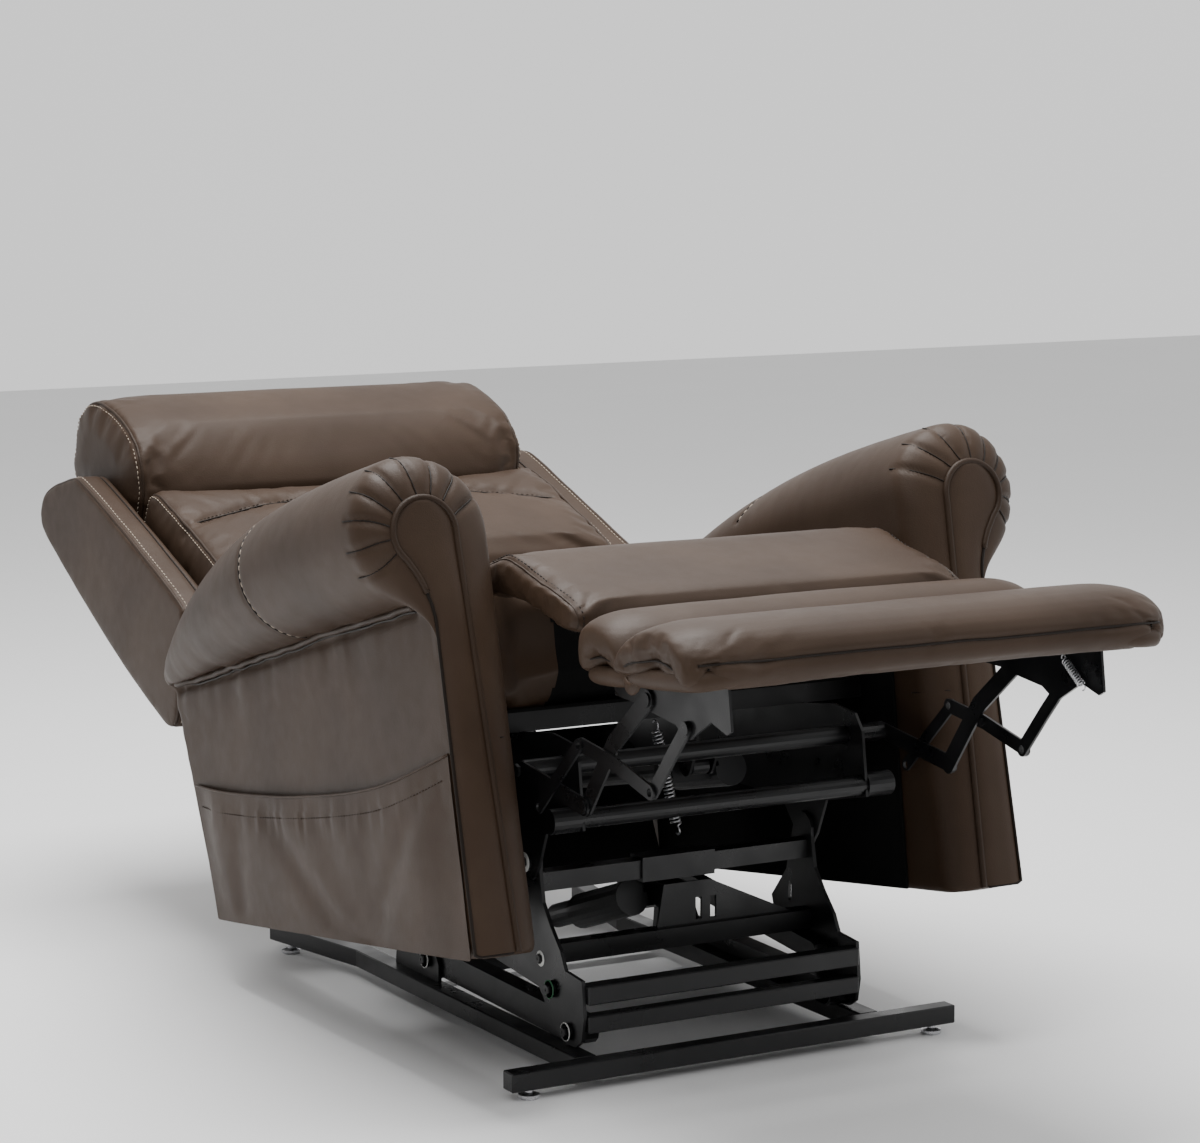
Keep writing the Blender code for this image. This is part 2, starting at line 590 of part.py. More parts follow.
def headrest(head):
    outline = [(0.571, -0.022), (0.571, 0.092), (0.590, 0.122), (0.640, 0.146), (0.715, 0.152), (0.785, 0.142)]
    outline += [(0.832, 0.112), (0.850, 0.064), (0.846, 0.008), (0.815, -0.024)]
    solid("headrest", add_prism(bmesh.new(), outline, -0.324, 0.324), leather(), head, 0.010, 2)


# ---------------------------------------------------------------- footrest, seat coordinates
def layer(side, index):
    """X planes of one layer of the footrest scissor."""
    inner = LINK_X + LAYER * index
    return side * inner, side * (inner + LINK_THICK)


def rivet(obj, pivot, side, point, first, last):
    """A pivot rivet from one layer through the next, with a head outside."""
    inner = LINK_X + LAYER * first + LINK_THICK / 2
    face = LINK_X + LAYER * last + LINK_THICK + PLAY
    boolean(obj, add_pin(bmesh.new(), side, point, inner, face + 0.0010, 0.0050, 12), pivot, "UNION")
    boolean(obj, add_pin(bmesh.new(), side, point, face, face + 0.0015, 0.0085, 12), pivot, "UNION")


def flat_link(name, points, half, side, index, holes, pivot):
    x_a, x_b = layer(side, index)
    obj = solid(name, add_prism(bmesh.new(), strap(points, half), x_a, x_b), black_steel(), pivot)
    drill(obj, pivot, holes, 0.0053, sides=12)
    return obj


def footrest_drive(drive):
    """Torque tube across the chair with a crank at each end."""
    tube = add_rod(bmesh.new(), (-0.2655, *CRANK_PIVOT), (0.2655, *CRANK_PIVOT), 0.012, 20)
    obj = solid("footrest_drive", tube, black_steel(), drive)
    for side in (-1, 1):
        x_a, x_b = layer(side, 2)
        crank = add_prism(bmesh.new(), strap([CRANK_END, CRANK_MID, CRANK_PIVOT], 0.011), x_a, x_b)
        boolean(obj, crank, drive, "UNION")
    drill(obj, drive, [CRANK_END, CRANK_MID], 0.0053, sides=12)


def footrest_links(pivots):
    for name, side in SIDES:
        bend = (-0.196, 0.436)
        long_link = flat_link("long_link_" + name, [CRANK_END, bend, LONG_END], 0.012, side, 1,
                              [CROSSING, LONG_END], pivots["long"])
        rivet(long_link, pivots["long"], side, CRANK_END, 1, 2)
        cross = flat_link("cross_link_" + name, [CROSS_LOW, CROSSING, CROSS_HIGH], 0.009, side, 2,
                          [CROSS_LOW, CROSS_HIGH], pivots["cross"])
        weld_inward(cross, pivots["cross"], side, CROSSING)
        back_link = flat_link("back_link_" + name, [BACK_LINK_LOW, CRANK_MID, CROSS_HIGH], 0.008, side, 3,
                              [BACK_LINK_LOW, CROSS_HIGH], pivots["rear"])
        weld_inward(back_link, pivots["rear"], side, CRANK_MID, 3)
        flat_link("front_link_" + name, [CROSS_LOW, (-0.333, 0.428), FRONT_LINK_TOP], 0.009, side, 1,
                  [CROSS_LOW, FRONT_LINK_TOP], pivots["front"])


def weld_inward(obj, pivot, side, point, index=2):
    """A rivet that reaches inwards through the neighbouring layer and ends flush with it."""
    outer = LINK_X + LAYER * index + LINK_THICK / 2
    inner = LINK_X + LAYER * (index - 1)
    boolean(obj, add_pin(bmesh.new(), side, point, inner, outer, 0.0050, 12), pivot, "UNION")


def footrest_platform(rest):
    """Side rails, board and the two padded rolls."""
    for name, side in SIDES:
        x_a, x_b = layer(side, 0)
        outline = [(-0.205, 0.5057), (-0.205, 0.494), (-0.262, 0.484)] + arc(LONG_END, 0.014, 250, 290, 2)
        outline = outline[:3] + [(-0.285, 0.476), (-0.340, 0.462)] + arc(FRONT_LINK_TOP, 0.013, 300, 230, 3)
        outline += [(-0.420, 0.466), (-0.452, 0.452), (-0.462, 0.456), (-0.462, 0.5057)]
        rail = solid("footrest_rail_" + name, add_prism(bmesh.new(), outline, x_a, x_b), black_steel(), rest)
        for point in (LONG_END, FRONT_LINK_TOP):
            rivet(rail, rest, side, point, 0, 1)
    block("footrest_board", (-0.266, -0.470, 0.506), (0.266, -0.200, 0.516), black_plastic(), rest)
    middle = [(-0.184, 0.5163), (-0.181, 0.560), (-0.196, 0.585), (-0.222, 0.594), (-0.262, 0.588),
              (-0.300, 0.568), (-0.312, 0.545), (-0.312, 0.5163)]
    solid("middle_pad", add_prism(bmesh.new(), middle, -0.308, 0.308), leather(), rest, 0.008, 2)
    front = [(-0.3155, 0.5163), (-0.3155, 0.552), (-0.345, 0.572), (-0.390, 0.584), (-0.430, 0.5864), (-0.480, 0.573),
             (-0.508, 0.550), (-0.514, 0.528), (-0.508, 0.507), (-0.4865, 0.5052), (-0.4865, 0.5163)]
    solid("front_pad", add_prism(bmesh.new(), front, -0.338, 0.338), leather(), rest, 0.008, 2)


def thigh_pad(thigh):
    outline = [(0.098, 0.612), (0.098, 0.650), (0.060, 0.664), (0.013, 0.667), (-0.060, 0.642), (-0.140, 0.612)]
    outline += [(-0.162, 0.598), (-0.168, 0.583), (-0.158, 0.568), (-0.135, 0.562), (-0.020, 0.600), (0.030, 0.612)]
    solid("thigh_pad", add_prism(bmesh.new(), outline, -SEAT_HALF, SEAT_HALF), leather(), thigh, 0.006, 2)


# ---------------------------------------------------------------- assembly
def build():
    clear_scene()
    base = Pivot("pivot_base", None, (0.0, 0.0))
    base.empty.location.y = -CENTRE_Y
    floor_frame(base)

    arms = Pivot("pivot_lift_arms", base, ARM_PIVOT_REAR)
    uppers = Pivot("pivot_upper_arms", base, LINK_PIVOT_REAR)
    plates = Pivot("pivot_lift_plates", arms, ARM_PIVOT_FRONT)
    for name, side in SIDES:
        lift_arm(name, side, arms)
        upper_arm(name, side, uppers)
        lift_plate(name, side, plates)
    lift_tubes(plates)
    lift_motor = Pivot("pivot_lift_motor", plates, MOTOR_PIN)
    lift_rod = Pivot("pivot_lift_rod", lift_motor, MOTOR_PIN)
    linear_actuator("lift", MOTOR_PIN, ROD_PIN, 0.0, lift_motor, lift_rod, -0.048, -0.008)

    tilt_origin = rotated(TILT_PIVOT, -SEAT_TIP)
    seat = Pivot("pivot_tilt", plates, tilt_origin, shift=TILT_PIVOT, turn=SEAT_TIP)
    for name, side in SIDES:
        seat_side(name, side, seat)
        upholstered_arm(name, side, seat)
        arm_liner(name, side, seat)
    seat_rails(seat)
    seat_cushion(seat)
    black_covers(seat)
    side_pocket(seat)
    tilt_spring(seat)
    recline_motor = Pivot("pivot_recline_motor", seat, RECLINE_PIN)
    recline_rod = Pivot("pivot_recline_rod", recline_motor, RECLINE_PIN)
    linear_actuator("recline", RECLINE_PIN, LEVER_PIN, RECLINE_X, recline_motor, recline_rod, 0.048, -0.008)

    back = Pivot("pivot_recline", seat, (0.0, 0.0), shift=RECLINE_PIVOT, turn=BACK_ANGLE)
    back_frame(back)
    back_cushions(back)
    back_cover(back)
    for name, side in SIDES:
        back_wing(name, side, back)
    headrest(Pivot("pivot_headrest", back, HEAD_PIVOT))

    drive = Pivot("pivot_footrest", seat, CRANK_PIVOT)
    long_links = Pivot("pivot_long_links", drive, CRANK_END)
    links = {
        "long": long_links,
        "rear": Pivot("pivot_back_links", drive, CRANK_MID),
        "cross": Pivot("pivot_cross_links", long_links, CROSSING),
    }
    rest = Pivot("pivot_platform", long_links, LONG_END)
    links["front"] = Pivot("pivot_front_links", rest, FRONT_LINK_TOP)
    footrest_drive(drive)
    footrest_links(links)
    footrest_platform(rest)
    thigh_pad(Pivot("pivot_thigh", seat, THIGH_PIVOT))


build()
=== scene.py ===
"""Surface model of the lift recliner chair: stuffed leather, piping, stitching, springs and hardware.

Everything is in metres. The floor frame is drawn with y = 0 at the front of its front bar and placed by
BASE. Upholstered pieces are drawn in the seat's own level coordinates, or flat for the back, and then
placed by SEAT or BACK.
"""
import math

import bmesh
import bpy
import numpy as np
from mathutils import Matrix, Vector
from mathutils.bvhtree import BVHTree
from mathutils.kdtree import KDTree


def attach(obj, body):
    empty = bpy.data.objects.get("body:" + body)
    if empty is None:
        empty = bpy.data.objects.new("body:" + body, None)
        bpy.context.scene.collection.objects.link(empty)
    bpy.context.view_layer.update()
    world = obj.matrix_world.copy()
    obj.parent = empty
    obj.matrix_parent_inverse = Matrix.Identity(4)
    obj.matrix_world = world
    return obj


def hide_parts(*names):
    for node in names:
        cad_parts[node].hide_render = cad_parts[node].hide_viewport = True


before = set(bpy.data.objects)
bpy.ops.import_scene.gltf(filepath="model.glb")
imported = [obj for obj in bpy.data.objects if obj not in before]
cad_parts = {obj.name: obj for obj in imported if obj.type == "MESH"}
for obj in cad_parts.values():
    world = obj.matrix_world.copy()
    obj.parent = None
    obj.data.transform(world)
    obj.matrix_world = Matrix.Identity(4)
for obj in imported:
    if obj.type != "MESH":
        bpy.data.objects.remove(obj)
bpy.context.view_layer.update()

SEAT_TIP = math.radians(-8.0)
BACK_ANGLE = math.radians(27.0)
BASE = Matrix.Translation((0.0, -0.509, 0.0))
SEAT = BASE @ Matrix.Rotation(SEAT_TIP, 4, "X")
BACK = SEAT @ Matrix.Translation((0.0, 0.600, 0.450)) @ Matrix.Rotation(BACK_ANGLE, 4, "X")
WORLD = Matrix.Identity(4)
SIDES = (("left", -1), ("right", 1))


# ---------------------------------------------------------------- materials
def new_material(name, color, roughness, metallic=0.0):
    mat = bpy.data.materials.new(name)
    mat.use_nodes = True
    shader = mat.node_tree.nodes["Principled BSDF"]
    shader.inputs["Base Color"].default_value = (*color, 1.0)
    shader.inputs["Roughness"].default_value = roughness
    shader.inputs["Metallic"].default_value = metallic
    return mat, mat.node_tree, shader


def texture(tree, kind, coord, scale, **inputs):
    node = tree.nodes.new(kind)
    tree.links.new(coord, node.inputs["Vector"])
    node.inputs["Scale"].default_value = scale
    for key, value in inputs.items():
        node.inputs[key].default_value = value
    return node


def ramp(tree, source, low, high, dark, light):
    node = tree.nodes.new("ShaderNodeMapRange")
    tree.links.new(source, node.inputs["Value"])
    for key, value in (("From Min", low), ("From Max", high), ("To Min", dark), ("To Max", light)):
        node.inputs[key].default_value = value
    return node.outputs["Result"]


def colour_ramp(tree, source, stops):
    node = tree.nodes.new("ShaderNodeValToRGB")
    tree.links.new(source, node.inputs["Fac"])
    elements = node.color_ramp.elements
    while len(elements) < len(stops):
        elements.new(0.5)
    for element, (position, color) in zip(elements, stops):
        element.position = position
        element.color = (*color, 1.0)
    return node.outputs["Color"]


def bump(tree, height, strength, distance, previous=None):
    node = tree.nodes.new("ShaderNodeBump")
    node.inputs["Strength"].default_value = strength
    node.inputs["Distance"].default_value = distance
    tree.links.new(height, node.inputs["Height"])
    if previous is not None:
        tree.links.new(previous, node.inputs["Normal"])
    return node.outputs["Normal"]


def leather_material(name, tone=1.0):
    """Taupe-brown leather: cloudy dye, fine pebble grain, soft creases."""
    dark = tuple(tone * c for c in (0.036, 0.0205, 0.0120))
    mid = tuple(tone * c for c in (0.045, 0.0268, 0.0165))
    light = tuple(tone * c for c in (0.056, 0.0345, 0.0220))
    specular = 0.20
    mat, tree, shader = new_material(name, mid, 0.45)
    shader.inputs["Specular IOR Level"].default_value = specular
    coord = tree.nodes.new("ShaderNodeTexCoord").outputs["Object"]
    cloud = texture(tree, "ShaderNodeTexNoise", coord, 5.5, Detail=4.0, Roughness=0.55)
    color = colour_ramp(tree, cloud.outputs["Fac"], [(0.30, dark), (0.52, mid), (0.74, light)])
    tree.links.new(color, shader.inputs["Base Color"])
    rough = texture(tree, "ShaderNodeTexNoise", coord, 42.0, Detail=3.0)
    tree.links.new(ramp(tree, rough.outputs["Fac"], 0.3, 0.7, 0.46, 0.52), shader.inputs["Roughness"])
    crease = texture(tree, "ShaderNodeTexNoise", coord, 110.0, Detail=5.0, Distortion=1.0)
    pebble = texture(tree, "ShaderNodeTexVoronoi", coord, 620.0)
    fine = texture(tree, "ShaderNodeTexNoise", coord, 900.0, Detail=2.0)
    normal = bump(tree, crease.outputs["Fac"], 0.20, 0.0005)
    normal = bump(tree, pebble.outputs["Distance"], 0.30, 0.00035, normal)
    normal = bump(tree, fine.outputs["Fac"], 0.20, 0.0002, normal)
    tree.links.new(normal, shader.inputs["Normal"])
    return mat


def steel_material(name, color, low, high):
    """Powder-coated steel: a slight orange peel and uneven gloss."""
    mat, tree, shader = new_material(name, color, 0.4)
    shader.inputs["Specular IOR Level"].default_value = 0.4
    coord = tree.nodes.new("ShaderNodeTexCoord").outputs["Object"]
    peel = texture(tree, "ShaderNodeTexNoise", coord, 420.0, Detail=2.0)
    dust = texture(tree, "ShaderNodeTexNoise", coord, 16.0, Detail=6.0)
    tree.links.new(ramp(tree, dust.outputs["Fac"], 0.35, 0.7, low, high), shader.inputs["Roughness"])
    tone = tuple(1.9 * c for c in color)
    shade = colour_ramp(tree, dust.outputs["Fac"], [(0.45, color), (0.8, tone)])
    tree.links.new(shade, shader.inputs["Base Color"])
    tree.links.new(bump(tree, peel.outputs["Fac"], 0.15, 0.0004), shader.inputs["Normal"])
    return mat


def metal_material(name, color, roughness):
    mat, tree, shader = new_material(name, color, roughness, 1.0)
    coord = tree.nodes.new("ShaderNodeTexCoord").outputs["Object"]
    wear = texture(tree, "ShaderNodeTexNoise", coord, 150.0, Detail=4.0)
    tree.links.new(ramp(tree, wear.outputs["Fac"], 0.3, 0.7, roughness * 0.7, roughness * 1.5),
                   shader.inputs["Roughness"])
    tree.links.new(bump(tree, wear.outputs["Fac"], 0.06, 0.0003), shader.inputs["Normal"])
    return mat


def cloth_material(name, color):
    """Woven dust cloth."""
    mat, tree, shader = new_material(name, color, 0.9)
    coord = tree.nodes.new("ShaderNodeTexCoord").outputs["Object"]
    weave = texture(tree, "ShaderNodeTexWave", coord, 380.0, Distortion=1.0)
    fuzz = texture(tree, "ShaderNodeTexNoise", coord, 700.0, Detail=3.0)
    tone = tuple(2.2 * c for c in color)
    shade = colour_ramp(tree, fuzz.outputs["Fac"], [(0.3, color), (0.8, tone)])
    tree.links.new(shade, shader.inputs["Base Color"])
    normal = bump(tree, weave.outputs["Fac"], 0.3, 0.0004)
    tree.links.new(bump(tree, fuzz.outputs["Fac"], 0.3, 0.0004, normal), shader.inputs["Normal"])
    shader.inputs["Specular IOR Level"].default_value = 0.15
    return mat


def plain_material(name, color, roughness):
    """Moulded plastic or painted board with a fine texture."""
    mat, tree, shader = new_material(name, color, roughness)
    coord = tree.nodes.new("ShaderNodeTexCoord").outputs["Object"]
    grain = texture(tree, "ShaderNodeTexNoise", coord, 600.0, Detail=2.0)
    tree.links.new(ramp(tree, grain.outputs["Fac"], 0.3, 0.7, roughness * 0.85, min(1.0, roughness * 1.2)),
                   shader.inputs["Roughness"])
    tree.links.new(bump(tree, grain.outputs["Fac"], 0.12, 0.0003), shader.inputs["Normal"])
    return mat


LEATHER = leather_material("taupe_leather")
PIPING = leather_material("piping_leather", 0.75)
SEAM_SHADE = leather_material("seam_shadow", 0.22)
# Painted shade: near-black leather for the thin tubes laid in sewn creases, pleats and under the arm
# welts; the seat and thigh stitch rows are drawn in it too.
THREAD = plain_material("thread", (0.34, 0.28, 0.22), 0.6)
STEEL = steel_material("black_powder_coat", (0.0045, 0.0045, 0.005), 0.26, 0.46)
ZINC = metal_material("zinc", (0.62, 0.62, 0.64), 0.28)
CHROME = metal_material("polished_chrome", (0.86, 0.87, 0.89), 0.10)
PLASTIC = plain_material("black_plastic", (0.007, 0.007, 0.008), 0.42)
BOARD = plain_material("black_board", (0.008, 0.0075, 0.007), 0.7)
DUST_CLOTH = cloth_material("dust_cloth", (0.003, 0.003, 0.003))
NYLON = plain_material("white_nylon", (0.70, 0.70, 0.67), 0.5)
GREEN = plain_material("green_nylon", (0.045, 0.16, 0.075), 0.5)


# ---------------------------------------------------------------- mesh tools
def coords(obj):
    co = np.empty(len(obj.data.vertices) * 3)
    obj.data.vertices.foreach_get("co", co)
    return co.reshape(-1, 3)


def set_coords(obj, co):
    obj.data.vertices.foreach_set("co", np.ascontiguousarray(co, dtype=np.float32).ravel())
    obj.data.update()


def normals(obj):
    no = np.empty(len(obj.data.vertices) * 3, dtype=np.float32)
    obj.data.vertices.foreach_get("normal", no)
    return no.reshape(-1, 3).astype(float)


def from_data(name, points, faces, mat, place=WORLD):
    mesh = bpy.data.meshes.new(name)
    mesh.from_pydata([tuple(p) for p in points], [], faces)
    mesh.transform(place)
    mesh.materials.append(mat)
    mesh.shade_smooth()
    obj = bpy.data.objects.new(name, mesh)
    bpy.context.scene.collection.objects.link(obj)
    return obj


def from_bmesh(name, bm, mat):
    bmesh.ops.recalc_face_normals(bm, faces=bm.faces)
    mesh = bpy.data.meshes.new(name)
    bm.to_mesh(mesh)
    bm.free()
    mesh.materials.append(mat)
    mesh.shade_smooth()
    mesh.set_sharp_from_angle(angle=math.radians(40))
    obj = bpy.data.objects.new(name, mesh)
    bpy.context.scene.collection.objects.link(obj)
    return obj


def skin(rows, closed=True, caps=True):
    """Quads over a row of equal rings."""
    count = len(rows[0])
    points = [p for row in rows for p in row]
    faces = []
    for r in range(len(rows) - 1):
        for i in range(count if closed else count - 1):
            j = (i + 1) % count
            faces.append((r * count + i, r * count + j, (r + 1) * count + j, (r + 1) * count + i))
    if caps:
        faces += [f[::-1] for f in lid(0, count)] + lid((len(rows) - 1) * count, count)
    return points, faces


def lid(first, count):
    """Quads across a ring of points, from one half of it to the other."""
    faces = []
    for i in range(count // 2):
        face = [i, i + 1, count - 2 - i, count - 1 - i]
        face = [first + k for k in dict.fromkeys(face)]
        if len(face) > 2:
            faces.append(tuple(face))
    return faces


def resample(points, spacing, closed=False):
    """Catmull-Rom through the points, at an even spacing."""
    pts = np.array(points, float)
    if closed:
        pts = np.vstack([pts[-1:], pts, pts[:2]])
    else:
        pts = np.vstack([2 * pts[:1] - pts[1:2], pts, 2 * pts[-1:] - pts[-2:-1]])
    dense = []
    for i in range(1, len(pts) - 2):
        a, b, c, d = pts[i - 1], pts[i], pts[i + 1], pts[i + 2]
        for t in np.linspace(0, 1, 12, endpoint=False):
            dense.append(0.5 * (2 * b + (c - a) * t + (2 * a - 5 * b + 4 * c - d) * t * t
                                + (3 * b - a - 3 * c + d) * t ** 3))
    dense.append(pts[-2])
    return even(np.array(dense), spacing)


def even(line, spacing):
    steps = np.linalg.norm(np.diff(line, axis=0), axis=1)
    total = np.concatenate([[0.0], np.cumsum(steps)])
    count = max(2, int(round(total[-1] / spacing)) + 1)
    at = np.linspace(0.0, total[-1], count)
    return np.stack([np.interp(at, total, line[:, k]) for k in range(line.shape[1])], axis=1)


def smooth_noise(x, seed):
    """Repeatable 1-D value noise in -1..1."""
    i = np.floor(x).astype(int)
    f = x - i
    f = f * f * (3 - 2 * f)

    def value(n):
        raw = np.sin(n * 127.1 + seed * 311.7) * 43758.5453
        return 2 * (raw - np.floor(raw)) - 1

    return value(i) * (1 - f) + value(i + 1) * f


def nearest_on_line(co, line, reach=0.08):
    """Distance from each point to a dense line, and how far along the line that is."""
    best = np.full(len(co), 1.0)
    at = np.zeros(len(co))
    steps = np.concatenate([[0.0], np.cumsum(np.linalg.norm(np.diff(line, axis=0), axis=1))])
    inside = ((co > line.min(axis=0) - reach) & (co < line.max(axis=0) + reach)).all(axis=1)
    tree = KDTree(len(line))
    for i, p in enumerate(line):
        tree.insert(p, i)
    tree.balance()
    for i in np.nonzero(inside)[0]:
        _, index, distance = tree.find(co[i])
        best[i] = distance
        at[i] = steps[index]
    return best, at


def groove(obj, line, depth, width, taper=False):
    """Press a line into the surface."""
    co = coords(obj)
    near, at = nearest_on_line(co, line, 4 * width)
    push = depth * np.exp(-(near / width) ** 2)
    if taper:
        push *= np.sin(np.clip(at / max(at.max(), 1e-6), 0, 1) * math.pi) ** 0.6
    set_coords(obj, co - normals(obj) * push[:, None])


def pucker(obj, line, depth, reach, pitch, seed, inner=0.004, where=1.0):
    """Short pleats that run away from a seam."""
    co = coords(obj)
    near, at = nearest_on_line(co, line)
    wave = smooth_noise(at / pitch, seed) + 0.5 * smooth_noise(at / pitch * 2.3, seed + 5)
    fade = np.exp(-(near / reach) ** 1.5) * np.clip(near / inner, 0, 1) * where
    set_coords(obj, co + normals(obj) * (depth * wave * fade)[:, None])


def in_frame(obj, place):
    """The vertices in local coordinates."""
    turn = np.array(place.inverted())
    return coords(obj) @ turn[:3, :3].T + turn[:3, 3]


def pinch(obj, name, line, body, depth, width, radius=0.0011, taper=False):
    """A sewn crease: pressed into the surface, with a thin near-black tube sunk in it as painted shade
    along the crease.
    """
    on, _ = laid_on(surface(obj), line)
    groove(obj, on, depth, width, taper)
    on, ups = laid_on(surface(obj), on, 0.0006)
    # The near-black tube is painted shade in the groove.
    finish_piece(tube(name, on, radius, SEAM_SHADE, sides=6), body)
    return on, ups


def swell(obj, depth, size, seed):
    """Gentle unevenness of the stuffing."""
    co = coords(obj)
    wave = np.zeros(len(co))
    for k, direction in enumerate(((1.0, 0.31, 0.17), (0.22, 1.0, 0.41), (-0.35, 0.44, 1.0))):
        wave += smooth_noise(co @ np.array(direction) / size, seed + 3 * k)
    set_coords(obj, co + normals(obj) * (depth * wave / 3)[:, None])


def surface(obj):
    mesh = obj.data
    return BVHTree.FromPolygons([v.co for v in mesh.vertices], [p.vertices for p in mesh.polygons])


def laid_on(tree, line, lift=0.0):
    """A line moved onto a surface, and the surface normals along it."""
    points, ups = [], []
    for p in line:
        spot, normal, _, _ = tree.find_nearest(Vector(p))
        points.append(np.array(spot + normal * lift))
        ups.append(np.array(normal))
    points, ups = np.array(points), np.array(ups)
    for _ in range(8 if len(points) > 12 else 1):
        points[1:-1] = (points[:-2] + 2 * points[1:-1] + points[2:]) / 4
        ups[1:-1] = (ups[:-2] + 2 * ups[1:-1] + ups[2:]) / 4
    return points, ups / np.maximum(np.linalg.norm(ups, axis=1, keepdims=True), 1e-9)


def sweep(line, radius, sides):
    """Rings of a round tube along a line."""
    line = np.array(line, float)
    ahead = np.gradient(line, axis=0)
    ahead /= np.maximum(np.linalg.norm(ahead, axis=1, keepdims=True), 1e-9)
    up = np.array((0.0, 0.0, 1.0)) if abs(ahead[0][2]) < 0.9 else np.array((1.0, 0.0, 0.0))
    rings = []
    radii = np.broadcast_to(radius, len(line))
    for p, t, r in zip(line, ahead, radii):
        up = up - t * (up @ t)
        up /= max(np.linalg.norm(up), 1e-9)
        side = np.cross(t, up)
        turn = [2 * math.pi * k / sides for k in range(sides)]
        rings.append([p + r * (math.cos(a) * up + math.sin(a) * side) for a in turn])
    return rings


def tube(name, line, radius, mat, sides=8):
    points, faces = skin(sweep(line, radius, sides))
    return from_data(name, points, [f[::-1] for f in faces], mat)


def stitch_row(name, line, ups, offset, mat=None, length=0.0052, gap=0.0026, radius=0.00055):
    """A row of separate stitches beside a seam, offset across it on the surface."""
    line = np.array(line)
    ahead = np.gradient(line, axis=0)
    ahead /= np.maximum(np.linalg.norm(ahead, axis=1, keepdims=True), 1e-9)
    across = np.cross(ahead, np.array(ups))
    path = line + across * offset
    steps = np.concatenate([[0.0], np.cumsum(np.linalg.norm(np.diff(path, axis=0), axis=1))])
    points, faces = [], []
    start = gap
    while start + length < steps[-1]:
        at = np.array([0.0, 0.18, 0.5, 0.82, 1.0]) * length + start
        spots = np.stack([np.interp(at, steps, path[:, k]) for k in range(3)], axis=1)
        high = np.stack([np.interp(at, steps, np.array(ups)[:, k]) for k in range(3)], axis=1)
        spots += high * np.array([[-0.0006], [0.0003], [0.0006], [0.0003], [-0.0006]])
        rings = sweep(spots, radius * np.array([0.6, 1.0, 1.05, 1.0, 0.6]), 5)
        more, quads = skin(rings)
        base = len(points)
        points += more
        faces += [tuple(base + i for i in f[::-1]) for f in quads]
        start += length + gap
    return from_data(name, points, faces, mat or THREAD)


def finish_piece(obj, body):
    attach(obj, body)
    return obj


# ---------------------------------------------------------------- stuffing
WORKSHOP = bpy.data.scenes.new("workshop")
PRESSURE = 4.0
CLOTH_FRAMES = 14
SHRINK = 0.004                     # a cover starts this much narrower than its CAD block, then swells
PAD_WAVE = 0.0012                  # height of the slow unevenness of a stuffed pad


def evaluated(obj, frames=0):
    """The mesh an object's modifiers make, worked out in a scene that holds nothing else."""
    WORKSHOP.collection.objects.link(obj)
    for step in range(1, frames + 1):
        WORKSHOP.frame_set(step)
    layer = WORKSHOP.view_layers[0]
    layer.update()
    mesh = bpy.data.meshes.new_from_object(obj.evaluated_get(layer.depsgraph))
    WORKSHOP.collection.objects.unlink(obj)
    return mesh


def apply_modifiers(obj):
    mesh = evaluated(obj)
    old = obj.data
    obj.modifiers.clear()
    obj.data = mesh
    bpy.data.meshes.remove(old)
    obj.data.shade_smooth()


def voxelise(obj, size):
    mod = obj.modifiers.new("voxels", "REMESH")
    mod.mode = "VOXEL"
    mod.voxel_size = size
    mod.use_smooth_shade = True
    apply_modifiers(obj)


def stuff(obj, held, cap, grow):
    """Blow the cover up against its sewn edges with Blender's cloth."""
    rest = coords(obj)
    group = obj.vertex_groups.new(name="sewn")
    for line, reach in held:
        near, _ = nearest_on_line(rest, line)
        for i in np.nonzero(near < reach)[0]:
            group.add([int(i)], 1.0, "REPLACE")
    cloth = obj.modifiers.new("stuffing", "CLOTH")
    cloth.settings.quality = 4
    cloth.settings.mass = 0.25
    cloth.settings.air_damping = 2.0
    cloth.settings.tension_stiffness = 12.0
    cloth.settings.compression_stiffness = 12.0
    cloth.settings.shear_stiffness = 4.0
    cloth.settings.bending_stiffness = 0.6
    cloth.settings.shrink_min = -grow
    cloth.settings.use_pressure = True
    cloth.settings.uniform_pressure_force = PRESSURE
    cloth.settings.effector_weights.gravity = 0.0
    cloth.settings.vertex_group_mass = "sewn"
    cloth.collision_settings.use_collision = False
    cloth.collision_settings.use_self_collision = False
    cloth.point_cache.frame_end = CLOTH_FRAMES
    blown = evaluated(obj, CLOTH_FRAMES)
    co = np.empty(len(blown.vertices) * 3)
    blown.vertices.foreach_get("co", co)
    bpy.data.meshes.remove(blown)
    move = co.reshape(-1, 3) - rest
    size = np.linalg.norm(move, axis=1, keepdims=True)
    move *= np.minimum(1.0, cap / np.maximum(size, 1e-9))
    obj.modifiers.remove(cloth)
    obj.vertex_groups.clear()
    set_coords(obj, rest + move)


def refine(obj, levels=1):
    mod = obj.modifiers.new("smooth", "SUBSURF")
    mod.levels = levels
    mod.render_levels = levels
    apply_modifiers(obj)


def rounded(outline, spacing=0.006):
    """A closed (y, z) outline smoothed and resampled."""
    return resample(outline, spacing, closed=True)[:-1]


def pad_mesh(name, outline, half, place, ends, pull):
    """A stuffed block: an outline swept across the chair, rounded and drawn in at both ends."""
    ring = rounded(outline)
    centre = ring.mean(axis=0)
    rel = ring - centre
    rows = []
    count = 34
    for k in range(count + 1):
        t = -1 + 2 * k / count
        s = math.sin(t * math.pi / 2)
        from_end = half * (1 - abs(s))
        edge = max(0.0, 1 - from_end / ends)
        inset = pull * (1 - math.sqrt(max(0.0, 1 - edge * edge)))
        size = np.maximum(np.linalg.norm(rel, axis=1, keepdims=True), 1e-6)
        shaped = rel * (1 - inset / size)
        rows.append([(half * s, centre[0] + y, centre[1] + z) for y, z in shaped])
    points, faces = skin(rows)
    return from_data(name, points, faces, LEATHER, place)


